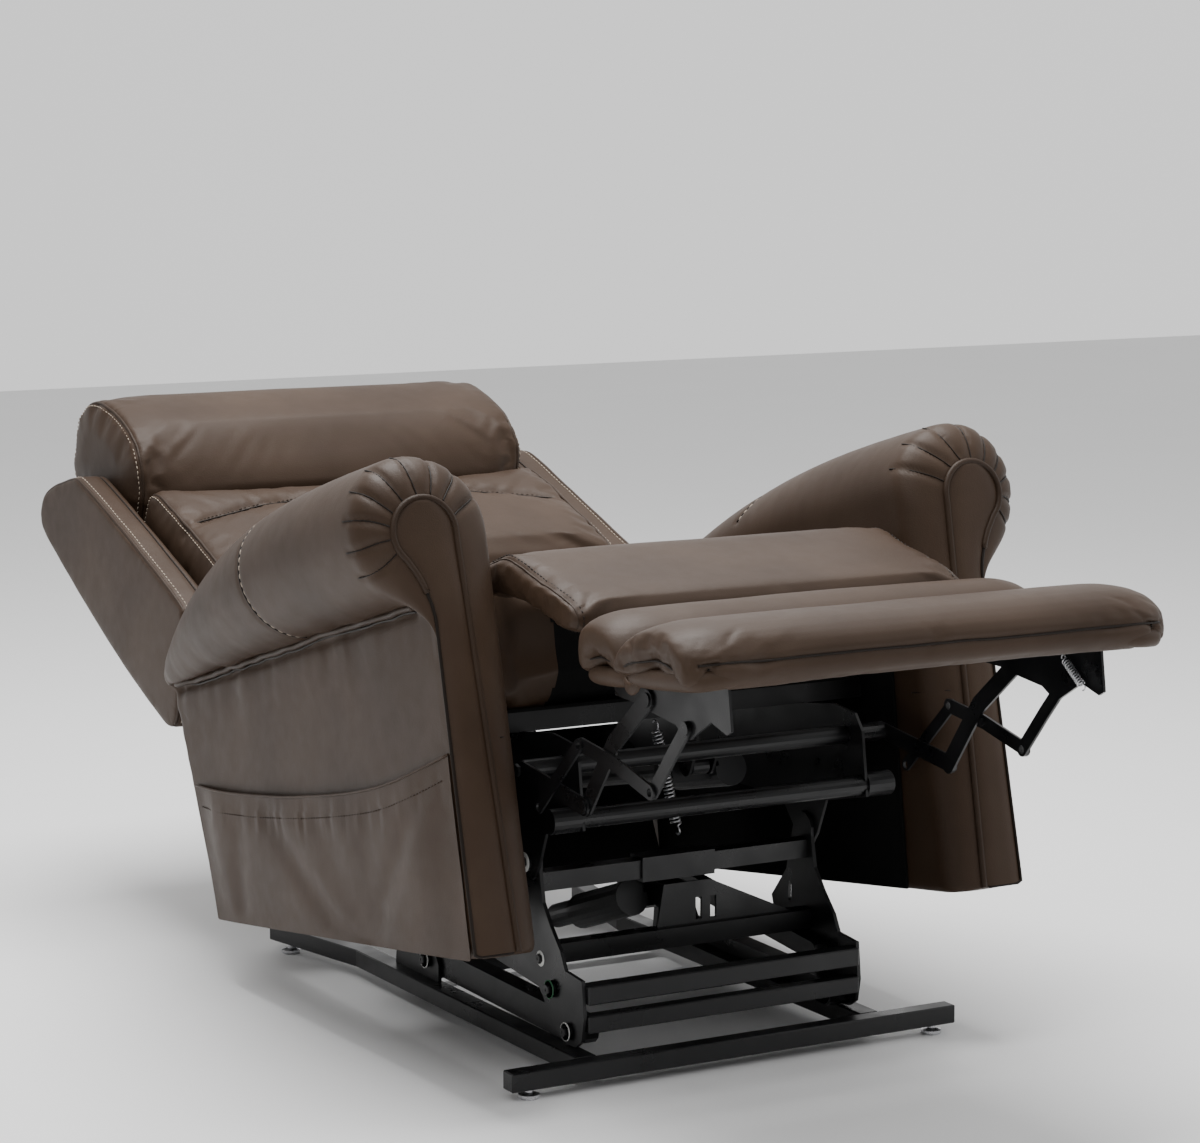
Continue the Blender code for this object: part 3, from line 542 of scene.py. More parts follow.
def side_line(outline, x, place, spacing=0.006, part=(0.0, 1.0)):
    """The sewn edge of a pad's end, in world coordinates."""
    ring = resample(outline, spacing, closed=True)
    first, last = (int(round(f * (len(ring) - 1))) for f in part)
    ring = ring[first:last + 1]
    return np.array([place @ Vector((x, y, z)) for y, z in ring])


def cross_line(points, place, spacing=0.006):
    """A smooth line through local points, in world coordinates."""
    return np.array([place @ Vector(p) for p in resample(points, spacing)])


def cushion(name, outline, half, place, node, voxel=0.008, cap=0.010, ends=0.030, pull=0.008,
            held=(), grow=0.02):
    """A stuffed leather pad that stands for one CAD block."""
    half -= SHRINK
    obj = pad_mesh(name, outline, half, place, ends, pull)
    voxelise(obj, voxel)
    sewn = [(side_line(outline, side * (half - 0.002), place), 0.006) for side in (-1, 1)]
    stuff(obj, sewn + list(held), cap, grow)
    refine(obj)
    swell(obj, PAD_WAVE, 0.07, len(name))
    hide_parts(node)
    return obj


def end_seams(obj, name, outline, half, place, body, radius=0.0022, part=(0.0, 1.0), thread=None):
    """Piping, puckers and stitches around the ends of a pad."""
    lines = []
    for word, side in SIDES:
        line = side_line(outline, side * (half - 0.008), place, spacing=0.004, part=part)
        groove(obj, line, 0.0026, 0.006)
        pucker(obj, line, 0.0013, 0.020, 0.016, len(name) + side)
        lines.append((side, name + "_" + word, line))
    tree = surface(obj)
    for side, label, line in lines:
        on, ups = laid_on(tree, line, 0.0)
        finish_piece(tube(label + "_piping", on, radius, PIPING), body)
        finish_piece(stitch_row(label + "_stitches", on, ups, side * 0.0065, thread, radius=0.0007), body)


# ---------------------------------------------------------------- back
HEAD_OUTLINE = [(0.575, -0.018), (0.573, 0.040), (0.577, 0.092), (0.597, 0.124), (0.645, 0.145),
                (0.715, 0.149), (0.783, 0.138), (0.826, 0.108), (0.842, 0.064), (0.838, 0.012),
                (0.812, -0.018), (0.700, -0.020)]
UPPER_OUTLINE = [(0.252, -0.014), (0.252, 0.050), (0.258, 0.086), (0.285, 0.100), (0.410, 0.104),
                 (0.525, 0.103), (0.553, 0.088), (0.561, 0.050), (0.561, -0.014), (0.410, -0.016)]
LUMBAR_OUTLINE = [(-0.010, 0.048), (-0.005, 0.080), (0.018, 0.095), (0.110, 0.101), (0.205, 0.098),
                  (0.232, 0.082), (0.238, 0.040), (0.236, -0.012), (0.150, -0.015), (0.060, -0.013),
                  (0.052, 0.030), (0.042, 0.046)]


def back_pads():
    head = cushion("headrest_pad", HEAD_OUTLINE, 0.324, BACK, "headrest", cap=0.008, grow=0.010)
    end_seams(head, "headrest", HEAD_OUTLINE, 0.324, BACK, "headrest")
    finish_piece(head, "headrest")

    arch = cross_line([(-0.318, 0.417, 0.090), (-0.230, 0.450, 0.104), (-0.110, 0.480, 0.107),
                       (0.0, 0.487, 0.107), (0.110, 0.480, 0.107), (0.230, 0.450, 0.104),
                       (0.318, 0.417, 0.090)], BACK)
    upper = cushion("back_pad", UPPER_OUTLINE, 0.322, BACK, "back_cushion", cap=0.009, grow=0.010,
                    held=[(arch, 0.006)])
    end_seams(upper, "back_pad", UPPER_OUTLINE, 0.322, BACK, "back")
    groove(upper, arch, 0.0040, 0.010)
    pucker(upper, arch, 0.0018, 0.030, 0.028, 4)
    on, ups = pinch(upper, "arch_seam_shade", arch, "back", 0.0020, 0.004)
    finish_piece(stitch_row("arch_stitches_above", on, ups, 0.004, PIPING), "back")
    finish_piece(stitch_row("arch_stitches_below", on, ups, -0.004, PIPING), "back")
    finish_piece(upper, "back")

    lumbar = cushion("lumbar_pad", LUMBAR_OUTLINE, 0.283, BACK, "lumbar_cushion", cap=0.005, grow=0.008)
    end_seams(lumbar, "lumbar_pad", LUMBAR_OUTLINE, 0.283, BACK, "back")
    finish_piece(lumbar, "back")


WING_OUTLINE = [(0.228, -0.119), (0.310, -0.128), (0.510, -0.114), (0.735, -0.079), (0.782, -0.067),
                (0.797, -0.048), (0.791, -0.022), (0.766, 0.006), (0.722, 0.036), (0.688, 0.057),
                (0.648, 0.067), (0.460, 0.067), (0.276, 0.061), (0.241, 0.045), (0.228, -0.030)]

WING_PIPING_X, WING_STITCH_X, WING_SEAM_X = 0.3805, 0.3725, 0.3440


def wing(name, side):
    """Flat upholstered side of the back: piped outer edge and a stitched line inside it."""
    ring = rounded(WING_OUTLINE, 0.006)
    centre = ring.mean(axis=0)
    rel = ring - centre
    rows = []
    size = np.linalg.norm(rel, axis=1, keepdims=True)
    stations = [(0.3315, 0.070), (0.3315, 0.030), (0.3318, 0.010), (0.335, 0.003), (0.341, 0.0)]
    stations += [(0.350, 0.0), (0.362, 0.0), (0.372, 0.0), (0.377, 0.0), (0.3812, 0.0015), (0.3836, 0.005)]
    stations += [(0.3842, 0.014), (0.3846, 0.030), (0.3848, 0.060), (0.3849, 0.085)]
    for x, inset in stations:
        shaped = centre + rel * (1 - np.minimum(inset, size * 0.92) / size)
        rows.append([(side * x, y, z) for y, z in shaped])
    points, faces = skin(rows)
    if side < 0:
        faces = [f[::-1] for f in faces]
    obj = from_data("wing_cover_" + name, points, faces, LEATHER, BACK)
    refine(obj, 2)
    swell(obj, 0.0016, 0.09, 3 + side)
    edge = side_line(WING_OUTLINE, side * WING_PIPING_X, BACK, spacing=0.005)
    groove(obj, edge, 0.0020, 0.005)
    pucker(obj, edge, 0.0006, 0.016, 0.020, 8 + side)
    tree = surface(obj)
    on, ups = laid_on(tree, edge)
    finish_piece(tube("wing_piping_" + name, on, 0.0026, PIPING), "back")
    loop = np.vstack([ring, ring[:1]])
    row = np.array([BACK @ Vector((side * WING_STITCH_X, y, z)) for y, z in even(loop, 0.004)])
    on, ups = laid_on(tree, row)
    finish_piece(stitch_row("wing_stitches_" + name, on, ups, 0.0, length=0.0062, radius=0.0009), "back")
    inner = np.array([BACK @ Vector((side * WING_SEAM_X, y, z)) for y, z in even(loop, 0.005)])
    pinch(obj, "wing_inner_seam_shade_" + name, inner, "back", 0.0012, 0.004)
    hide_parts("back_wing_" + name)
    finish_piece(obj, "back")


def back_shell():
    """Leather outer back, sewn to the wings' rear edges."""
    outline = [(0.229, -0.056), (0.229, -0.119), (0.250, -0.125), (0.310, -0.129), (0.410, -0.123),
               (0.510, -0.115), (0.620, -0.098), (0.735, -0.080), (0.772, -0.070), (0.776, -0.058),
               (0.600, -0.056), (0.400, -0.056)]
    obj = pad_mesh("rear_shell", outline, 0.3290, BACK, ends=0.010, pull=0.003)
    refine(obj)
    swell(obj, 0.0025, 0.12, 9)
    for side in (-1, 1):
        for k in range(6):
            u = 0.30 + 0.075 * k
            start = BACK @ Vector((side * 0.322, u, -0.126 + 0.03 * k / 5))
            end = BACK @ Vector((side * 0.250, u + 0.02, -0.126 + 0.03 * k / 5))
            groove(obj, even(np.array([start, end]), 0.006), 0.0015, 0.006, taper=True)
    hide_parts("back_cover")
    finish_piece(obj, "back")


# ---------------------------------------------------------------- seat and footrest pads
SEAT_OUTLINE = [(0.114, 0.472), (0.300, 0.471), (0.484, 0.472), (0.484, 0.540), (0.480, 0.590),
                (0.458, 0.612), (0.300, 0.630), (0.165, 0.643), (0.128, 0.638), (0.113, 0.612),
                (0.112, 0.540)]
THIGH_OUTLINE = [(0.095, 0.617), (0.094, 0.645), (0.058, 0.658), (0.013, 0.661), (-0.060, 0.637),
                 (-0.138, 0.607), (-0.157, 0.595), (-0.162, 0.583), (-0.154, 0.572), (-0.135, 0.568),
                 (-0.080, 0.586), (-0.020, 0.604), (0.030, 0.616)]
MIDDLE_OUTLINE = [(-0.190, 0.5205), (-0.186, 0.550), (-0.197, 0.579), (-0.225, 0.592), (-0.260, 0.588),
                  (-0.291, 0.569), (-0.3065, 0.540), (-0.3050, 0.5205), (-0.250, 0.5185)]
FRONT_OUTLINE = [(-0.3205, 0.5205), (-0.3195, 0.538), (-0.337, 0.558), (-0.376, 0.574), (-0.422, 0.5790),
                 (-0.470, 0.570), (-0.498, 0.552), (-0.5085, 0.533), (-0.5090, 0.516), (-0.5070, 0.5075),
                 (-0.4960, 0.5060), (-0.4870, 0.5150), (-0.4700, 0.5185), (-0.400, 0.5185)]


STRIPS = (("middle_border", ((0.246, -0.303, 0.519), (0.282, -0.300, 0.518), (0.292, -0.286, 0.518),
                             (0.293, -0.245, 0.520), (0.290, -0.205, 0.522)), 0.010, 0.0115),
          ("front_border", ((0.250, -0.500, 0.518), (0.300, -0.496, 0.517), (0.317, -0.480, 0.517),
                            (0.321, -0.410, 0.519), (0.318, -0.345, 0.521)), 0.010, 0.0120),
          ("roll_gusset", ((0.296, -0.292, 0.522), (0.298, -0.304, 0.509), (0.300, -0.318, 0.506),
                           (0.300, -0.332, 0.511), (0.298, -0.342, 0.524)), 0.0035, 0.0080))


def seat_pads():
    seat = cushion("seat_pad", SEAT_OUTLINE, 0.283, SEAT, "seat_cushion")
    end_seams(seat, "seat_pad", SEAT_OUTLINE, 0.283, SEAT, "seat", thread=SEAM_SHADE)
    front_cloth(seat)
    finish_piece(seat, "seat")

    thigh = cushion("thigh_cover", THIGH_OUTLINE, 0.284, SEAT, "thigh_pad", voxel=0.007, cap=0.005,
                    ends=0.020, pull=0.010, grow=0.012)
    end_seams(thigh, "thigh_cover", THIGH_OUTLINE, 0.284, SEAT, "thigh_pad", 0.0014, (0.10, 0.72), SEAM_SHADE)
    finish_piece(thigh, "thigh_pad")

    middle = cushion("middle_roll", MIDDLE_OUTLINE, 0.307, SEAT, "middle_pad", voxel=0.006, cap=0.006,
                     ends=0.060, pull=0.024, grow=0.014)
    roll_ends(middle, "middle_roll", -0.196, -0.300, 0.543, 0.292)
    finish_piece(middle, "platform")

    front = cushion("front_roll", FRONT_OUTLINE, 0.337, SEAT, "front_pad", voxel=0.006, cap=0.006,
                    ends=0.065, pull=0.026, grow=0.014)
    nose = cross_line([(-0.318, -0.498, 0.534), (-0.160, -0.509, 0.534), (0.0, -0.511, 0.534),
                       (0.160, -0.509, 0.534), (0.318, -0.498, 0.534)], SEAT)
    pinch(front, "front_roll_welt_shade", nose, "platform", 0.0030, 0.005, 0.0014)
    roll_ends(front, "front_roll", -0.328, -0.492, 0.540, 0.322)
    finish_piece(front, "platform")
    for name, side in SIDES:
        for label, path, half_width, half_height in STRIPS:
            path = [(side * x, y, z) for x, y, z in path]
            strip(label + "_" + name, path, half_width, half_height, "platform")


def roll_ends(obj, name, rear, front, height, half):
    """The closed ends of a roll: a seam all the way across each end, and gathers above it."""
    for word, side in SIDES:
        line = cross_line([(side * (half - 0.020), front + 0.002, height - 0.008),
                           (side * half, 0.8 * front + 0.2 * rear, height - 0.004),
                           (side * (half + 0.004), 0.5 * (rear + front), height),
                           (side * half, 0.8 * rear + 0.2 * front, height - 0.001),
                           (side * (half - 0.020), rear, height - 0.004)], SEAT, 0.005)
        on, _ = pinch(obj, name + "_end_shade_" + word, line, "platform", 0.0042, 0.0065, 0.0012)
        pucker(obj, on, 0.0014, 0.024, 0.024, 41 + side)


def strip(name, path, half_width, half_height, body):
    """A narrow padded band of leather that tapers at its ends."""
    line = resample(path, 0.006)
    line = np.array([SEAT @ Vector(p) for p in line])
    ahead = np.gradient(line, axis=0)
    ahead /= np.linalg.norm(ahead, axis=1, keepdims=True)
    rows = []
    up = np.array(SEAT.to_3x3() @ Vector((0, 0, 1)))
    for k, (p, t) in enumerate(zip(line, ahead)):
        s = 2 * k / (len(line) - 1) - 1
        size = max(0.08, (1 - abs(s) ** 5) ** 0.5)
        across = np.cross(t, up)
        high = np.cross(across, t)
        rows.append([p + size * (half_width * math.cos(a) * across + half_height * math.sin(a) * high)
                     for a in np.linspace(0, 2 * math.pi, 20, endpoint=False)])
    points, faces = skin(rows)
    obj = from_data(name, points, faces, LEATHER)
    refine(obj)
    swell(obj, 0.0008, 0.030, len(name))
    finish_piece(obj, body)


def front_cloth(obj):
    """Dust cloth between the leather corners on the front of the seat pad."""
    obj.data.materials.append(DUST_CLOTH)
    turn = SEAT.inverted()
    for face in obj.data.polygons:
        x, y, z = turn @ face.center
        bulge = 0.014 * math.sin(math.pi * min(1.0, max(0.0, (z - 0.45) / 0.17)))
        if y < 0.150 and z < 0.612 and abs(x) < 0.182 - bulge:
            face.material_index = 1


# ---------------------------------------------------------------- arms
ARM_IN, ARM_OUT, ARM_LENGTH = 0.3006, 0.400, 0.810
ARM_MIDDLE = 0.385
ARM_POINTS = 168                   # points around each ring of the arm cover
SCROLL_X, SCROLL_Z, SCROLL_RADIUS = 0.400, 0.700, 0.042
FACING_Y = -0.018                  # the arm's facing, level with the scroll
FACING_LEAN = 0.1015               # how far it leans back for each metre of height
ARM_LEAN = 0.0900                  # the same for the cover just behind it
FACING_ROUND = 0.040               # depth of the rounding from the facing to the roll


def arm_top(y):
    t = (y - 0.02) / (ARM_LENGTH - 0.02)
    return 0.797 - 0.087 * t - 0.175 * t ** 3


def arm_seam(y):
    return 0.615 - 0.1395 * max(y, 0.0)


def arm_lean(y):
    return ARM_LEAN * max(0.0, 1 - y / 0.30)


def arm_section(y):
    """Cross-section of the arm, as (x, z), from the inner bottom edge over the roll to the outer one."""
    top = arm_top(max(y, 0.02)) - 0.002
    seam = arm_seam(y)
    half = (top - seam) / 2
    middle = seam + half
    bottom = 0.186 + max(0.0, y - 0.70) / 0.348
    pts = [(ARM_IN + 0.004, bottom), (ARM_IN, bottom + 0.005)]
    pts += [(ARM_IN, bottom + (middle - bottom) * t) for t in np.linspace(0.03, 0.98, 26)]
    for angle in np.linspace(180, -84, 46):
        a = math.radians(angle)
        reach = (ARM_OUT - ARM_IN) if math.cos(a) < 0 else half * 0.93 - 0.002
        pts.append((ARM_OUT + reach * math.cos(a), middle + half * math.sin(a)))
    low = min(seam, middle - half) - 0.003
    pts += [(ARM_OUT - 0.001, bottom + (low - bottom) * t) for t in np.linspace(1.0, 0.02, 28)]
    pts += [(ARM_OUT - 0.004, bottom), (ARM_OUT - 0.05, bottom - 0.0005)]
    ring = even(np.array(pts + pts[:1]), 0.0085)[:-1]
    return resample_count(ring, ARM_POINTS)


def resample_count(ring, count):
    line = np.vstack([ring, ring[:1]])
    steps = np.concatenate([[0.0], np.cumsum(np.linalg.norm(np.diff(line, axis=0), axis=1))])
    at = np.linspace(0.0, steps[-1], count, endpoint=False)
    return np.stack([np.interp(at, steps, line[:, k]) for k in range(2)], axis=1)


def front_panel(count=ARM_POINTS):
    """Outline of the flat facing on the arm's front, in the same order as arm_section."""
    pts = [(0.340, 0.192)]
    pts += [(0.340 + 0.018 * t, 0.192 + (0.690 - 0.192) * t) for t in np.linspace(0.03, 1.0, 30)]
    pts += [(SCROLL_X + SCROLL_RADIUS * math.cos(math.radians(a)),
             SCROLL_Z + SCROLL_RADIUS * math.sin(math.radians(a))) for a in np.linspace(180, -48, 26)]
    pts += [(0.416, 0.650), (0.409, 0.635), (0.4015, 0.612)]
    pts += [(0.3985, 0.612 + (0.192 - 0.612) * t) for t in np.linspace(0.04, 1.0, 26)]
    return resample_count(np.array(pts), count)


def arm_cover(name, side):
    panel = front_panel()
    rows = []

    def place(x, y, z, lean):
        return (side * x, y + lean * (z - SCROLL_Z), z)

    full = arm_section(0.030)
    for scale, bulge in ((0.25, 0.0015), (0.65, 0.0015), (0.88, 0.0010), (1.0, 0.0)):
        centre = np.stack([np.full(len(panel), ARM_MIDDLE), panel[:, 1]], axis=1)
        ring = centre * (1 - scale) + panel * scale
        rows.append([place(x, FACING_Y + bulge, z, FACING_LEAN) for x, z in ring])
    for k in range(1, 13):
        turn = math.radians(90 * k / 12)
        ring = panel + (full - panel) * math.sin(turn)
        y = FACING_Y + FACING_ROUND * (1 - math.cos(turn))
        rows.append([place(x, y, z, FACING_LEAN - 0.008 * k / 12) for x, z in ring])
    for y in list(np.arange(0.030, 0.80, 0.011)) + [0.800]:
        ring = arm_section(y)
        lean = arm_lean(y)
        rows.append([place(x, y, z, lean) for x, z in ring])
    last = np.array(rows[-1])
    middle = last.mean(axis=0)
    for scale, step in ((0.9, 0.005), (0.6, 0.007)):
        rows.append([tuple(middle + (p - middle) * scale + np.array((0, step, 0))) for p in last])
    points, faces = skin(rows)
    if side < 0:
        faces = [f[::-1] for f in faces]
    obj = from_data("arm_cover_" + name, points, faces, LEATHER, SEAT)
    refine(obj)
    return obj


def arm_lines(side):
    """Sewn lines of an arm, in world coordinates."""
    edge = [(side * x, FACING_Y + FACING_LEAN * (z - SCROLL_Z), z) for x, z in front_panel(160)]
    edge = np.array([SEAT @ Vector(p) for p in edge])
    welt = [(side * (ARM_OUT + 0.002), y + arm_lean(y) * (arm_seam(y) - SCROLL_Z), arm_seam(y) - 0.002)
            for y in np.linspace(0.035, 0.785, 30)]
    welt = cross_line(welt, SEAT, 0.005)
    roll = []
    for angle in np.linspace(150, -84, 24):
        a = math.radians(angle)
        y = 0.440 - 0.00052 * (150 - angle)
        top, seam = arm_top(y), arm_seam(y)
        half = (top - seam) / 2
        reach = (ARM_OUT - ARM_IN) if math.cos(a) < 0 else half * 0.93
        roll.append((side * (ARM_OUT + reach * math.cos(a)), y, seam + half + half * math.sin(a)))
    return edge, welt, cross_line(roll, SEAT, 0.005)


def arm(name, side):
    obj = arm_cover(name, side)
    edge, welt, roll = arm_lines(side)
    swell(obj, 0.0020, 0.11, 5 + side)
    groove(obj, welt, 0.0080, 0.008)
    local = in_frame(obj, SEAT)
    off_panel = np.clip((local[:, 1] - FACING_LEAN * (local[:, 2] - SCROLL_Z) + 0.012) / 0.010, 0, 1)
    pucker(obj, welt, 0.0022, 0.040, 0.045, 12 + side, 0.010, off_panel)
    pucker(obj, roll, 0.0010, 0.022, 0.024, 21 + side)
    pucker(obj, edge, 0.0010, 0.024, 0.022, 31 + side, where=off_panel)
    scroll_pleats(obj, name, side)
    arm_facing(name, side)
    tree = surface(obj)
    on = edge + 0.0004 * np.array(SEAT.to_3x3() @ Vector((0, -1, 0)))
    low = np.array([(SEAT.inverted() @ Vector(p)) for p in on])
    outer = (abs(low[:, 0]) > ARM_MIDDLE) & (low[:, 2] < 0.640)
    start = int(np.nonzero(outer)[0][0])
    finish_piece(tube("arm_front_piping_" + name, on[:start + 2], 0.0042, PIPING), "seat")
    # Painted shade: a thin near-black tube along the outer part of the front seam.
    finish_piece(tube("arm_front_seam_shade_" + name, on[start:], 0.0021, SEAM_SHADE), "seat")
    on, ups = laid_on(tree, welt, 0.0)
    finish_piece(tube("arm_welt_" + name, on + ups * 0.001, 0.0048, PIPING), "seat")
    below = np.array([p + (SEAT.to_3x3() @ Vector((0, 0, -0.0062))) for p in on])
    under, _ = laid_on(tree, below, -0.0008)
    finish_piece(tube("arm_welt_shadow_" + name, under, 0.0022, SEAM_SHADE, sides=6), "seat")
    on, ups = pinch(obj, "arm_roll_seam_shade_" + name, roll, "seat", 0.0024, 0.005, 0.0013)
    finish_piece(stitch_row("arm_roll_stitches_" + name, on, ups, side * 0.0042, length=0.0080, gap=0.0034,
                            radius=0.0011), "seat")
    cross = cross_line([(side * 0.3035, 0.010, 0.446), (side * 0.312, -0.006, 0.4458),
                        (side * 0.336, -0.022, 0.4455)], SEAT, 0.004)
    pinch(obj, "arm_front_cross_seam_shade_" + name, cross, "seat", 0.0012, 0.003, 0.0008)
    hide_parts("arm_" + name)
    finish_piece(obj, "seat")


def arm_facing(name, side):
    """Gently crowned leather panel on the front of an arm."""
    outline = front_panel(400)
    top = int(np.argmax(outline[:, 1]))
    inner, outer = outline[:top + 1], outline[top:][::-1]
    rows = []
    straight, scroll = np.linspace(0.193, 0.690, 60), 0.690 + 0.0515 * np.sin(np.linspace(0.04, 1.56, 18))
    for z in np.concatenate([straight, scroll]):
        low = np.interp(z, inner[:, 1], inner[:, 0])
        high = np.interp(z, outer[:, 1], outer[:, 0])
        row = []
        for u in np.linspace(-1, 1, 15):
            crown = 0.0050 * (1 - abs(u) ** 3.0) * min(1.0, (high - low) / 0.040)
            x = (low + high) / 2 + u * (high - low) / 2
            wave = 0.0008 * float(smooth_noise(np.array([z / 0.08]), 60 + side)[0]) * (1 - u * u)
            row.append((side * x, -0.0172 - crown + wave + FACING_LEAN * (z - SCROLL_Z), z))
        rows.append(row)
    points, faces = skin(rows, closed=False, caps=False)
    if side > 0:
        faces = [f[::-1] for f in faces]
    obj = from_data("arm_facing_" + name, points, faces, LEATHER, SEAT)
    refine(obj)
    finish_piece(obj, "seat")


def scroll_pleats(obj, name, side):
    """Folds of the leather gathered around the scroll."""
    for k, angle in enumerate((158, 132, 108, 84, 60, 36, 12, -12, -34)):
        a = math.radians(angle)
        radial = np.array([math.cos(a), math.sin(a)])
        centre = np.array([SCROLL_X, SCROLL_Z])
        start = centre + radial * 0.043
        end = centre + radial * (0.092 if k % 2 else 0.083)
        pts = []
        for t in np.linspace(0, 1, 9):
            spot = start + (end - start) * t
            fall = 1 - math.sqrt(max(0.0, 1 - min(1.0, t) ** 2))
            y = FACING_Y + FACING_ROUND * fall + 0.030 * max(0.0, t - 0.6)
            z = spot[1] + 0.004 * math.sin(3 * t + k)
            pts.append((side * spot[0], y + 0.1 * (spot[1] - SCROLL_Z), z))
        label = "scroll_pleat_shade_%s_%d" % (name, k)
        pinch(obj, label, cross_line(pts, SEAT, 0.004), "seat", 0.0042, 0.0050, 0.0009, taper=True)


def pocket():
    """Slack leather pocket with a hem band, hung on the left arm."""
    near, far = ARM_OUT + 0.0006, ARM_OUT + 0.017
    mouth = resample([(-0.041, 0.437), (0.080, 0.404), (0.200, 0.384), (0.400, 0.370), (0.595, 0.367),
                      (0.742, 0.373)], 0.012)
    rows = []
    columns = len(mouth)
    deep = 40
    for j in range(deep + 1):
        t = j / deep
        row = []
        for i, (y_top, z_top) in enumerate(mouth):
            s = i / (columns - 1)
            y_low = -0.064 + 0.762 * s
            y = y_low * (1 - t) + y_top * t
            z = 0.187 * (1 - t) + (z_top - 0.003) * t
            edge = min(1.0, s / 0.14, (1 - s) / 0.10)
            edge = edge * edge * (3 - 2 * edge)
            belly = edge * (0.35 + 0.65 * math.sin(math.pi * min(1.0, 0.15 + 0.75 * t)))
            out = near + 0.0012 + (far - near - 0.003) * belly * (0.25 + 0.75 * t ** 0.7)
            folds = 0.0
            for centre, slope, width, depth in ((0.16, 0.30, 0.040, 0.0060), (0.30, 0.10, 0.05, 0.0052),
                                                (0.46, -0.12, 0.06, 0.0050), (0.64, -0.26, 0.05, 0.0062),
                                                (0.82, 0.08, 0.03, 0.0048)):
                shift = (s - centre - slope * (0.7 - t)) / width
                folds += depth * math.exp(-shift * shift) * (1 - t) ** 0.5 * min(1.0, t / 0.12)
            row.append((-(max(out - folds, near + 0.0010)), y, z))
        rows.append(row)
    thick = [[(min(x + 0.0028, -near), y, z) for x, y, z in row] for row in rows[::-1]]
    rolled = rows + [[(x + 0.0009, y, z + 0.0016) for x, y, z in rows[-1]]] + thick
    points, faces = skin(rolled, closed=False, caps=False)
    obj = from_data("pocket_cover", points, [f[::-1] for f in faces], LEATHER, SEAT)
    refine(obj)
    swell(obj, 0.0010, 0.05, 13)
    hem = np.array([SEAT @ Vector((-0.4165, y + 0.002, z - 0.034)) for y, z in mouth[1:-1]])
    groove(obj, hem, 0.0016, 0.004)
    pucker(obj, hem, 0.0012, 0.018, 0.014, 17)
    pocket_tree = surface(obj)
    on, ups = laid_on(pocket_tree, hem)
    finish_piece(stitch_row("pocket_hem_stitches", on, ups, 0.003, PIPING, radius=0.0007), "seat")
    lip = np.array([SEAT @ Vector((-0.4150, y, z - 0.001)) for y, z in mouth])
    on, _ = laid_on(pocket_tree, lip, 0.0002)
    finish_piece(tube("pocket_lip", on, 0.0018, LEATHER), "seat")
    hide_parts("side_pocket")
    finish_piece(obj, "seat")


# ---------------------------------------------------------------- springs and hardware
def coil(name, start, end, radius, wire, turns, body, hooks):
    """An extension spring with a hook at each end."""
    start, end = np.array(start, float), np.array(end, float)
    axis = end - start
    length = np.linalg.norm(axis)
    axis /= length
    side = np.cross(axis, (1.0, 0.0, 0.0))
    side /= np.linalg.norm(side)
    other = np.cross(axis, side)

    def hook(at, way, angles):
        return [at + side * radius * 0.9 * math.cos(a) + way * (hooks * 0.45 + hooks * 0.45 * math.sin(a))
                for a in angles]
    pts = hook(start, axis, np.linspace(-2.6, 1.0, 10))
    steps = int(turns * 10)
    for i in range(steps + 1):
        t = i / steps
        a = 2 * math.pi * turns * t
        pts.append(start + axis * (hooks + (length - 2 * hooks) * t)
                   + radius * (math.cos(a) * side + math.sin(a) * other))
    pts += hook(end, -axis, np.linspace(1.0, -2.6, 10))
    obj = tube(name, np.array(pts), wire, ZINC, sides=6)
    return finish_piece(obj, body)


def turned(profile, point, side, x, sides, start=0.0):
    """Rings of a part turned about X, from (radius, height) pairs."""
    angles = [2 * math.pi * k / sides + start for k in range(sides)]
    return [[(side * (x + h), point[0] + r * math.cos(a), point[1] + r * math.sin(a)) for a in angles]
            for r, h in profile]


def bolt(name, point, side, x, radius, body, washer):
    """Hex head with a chamfer and a centre dimple, over a washer where one is given."""
    profile = [(radius, 0.0), (radius, BOLT_HEIGHT * 0.7), (radius * 0.88, BOLT_HEIGHT),
               (radius * 0.30, BOLT_HEIGHT), (radius * 0.24, BOLT_HEIGHT * 0.82),
               (0.0004, BOLT_HEIGHT * 0.80)]
    points, faces = skin(turned(profile, point, side, x, 6, 0.3))
    bm = bmesh.new()
    verts = [bm.verts.new(p) for p in points]
    for f in faces:
        bm.faces.new([verts[i] for i in f])
    obj = from_bmesh(name, bm, STEEL)
    obj.data.set_sharp_from_angle(angle=math.radians(25))
    finish_piece(obj, body)
    if washer:
        ring = [(radius * 0.7, 0.0), (radius * 1.55, 0.0), (radius * 1.62, 0.0006),
                (radius * 1.55, WASHER), (radius * 0.7, WASHER)]
        points, faces = skin(turned(ring, point, side, x - WASHER, 24), caps=False)
        finish_piece(from_data(name + "_washer", points, faces, washer), body)


def seat_point(y, z):
    spot = SEAT @ Vector((0.0, y, z))
    return (spot.y, spot.z)


def base_point(y, z):
    spot = BASE @ Vector((0.0, y, z))
    return (spot.y, spot.z)


BOLT_HEIGHT, WASHER = 0.004, 0.0014
ON_ARM, ON_TILT, ON_PLATE, ON_CRANK = 0.2115, 0.2162, 0.2058, 0.2712      # x of the bolt heads
BOLTS = (("arm_front", base_point(0.078, 0.055), ON_ARM, 0.0075, "lift_arms", NYLON),
         ("arm_rear", base_point(0.470, 0.062), ON_ARM, 0.0075, "lift_arms", NYLON),
         ("link_front", base_point(0.120, 0.100), ON_ARM, 0.0075, "upper_arms", GREEN),
         ("link_rear", base_point(0.520, 0.1365), ON_ARM, 0.0075, "upper_arms", NYLON),
         ("tilt", base_point(0.175, 0.253), ON_TILT, 0.0080, "lift_plates", NYLON),
         ("plate", base_point(0.152, 0.132), ON_PLATE, 0.0065, "lift_plates", NYLON),
         ("crank", seat_point(0.030, 0.400), ON_CRANK, 0.0080, "footrest_drive", None))


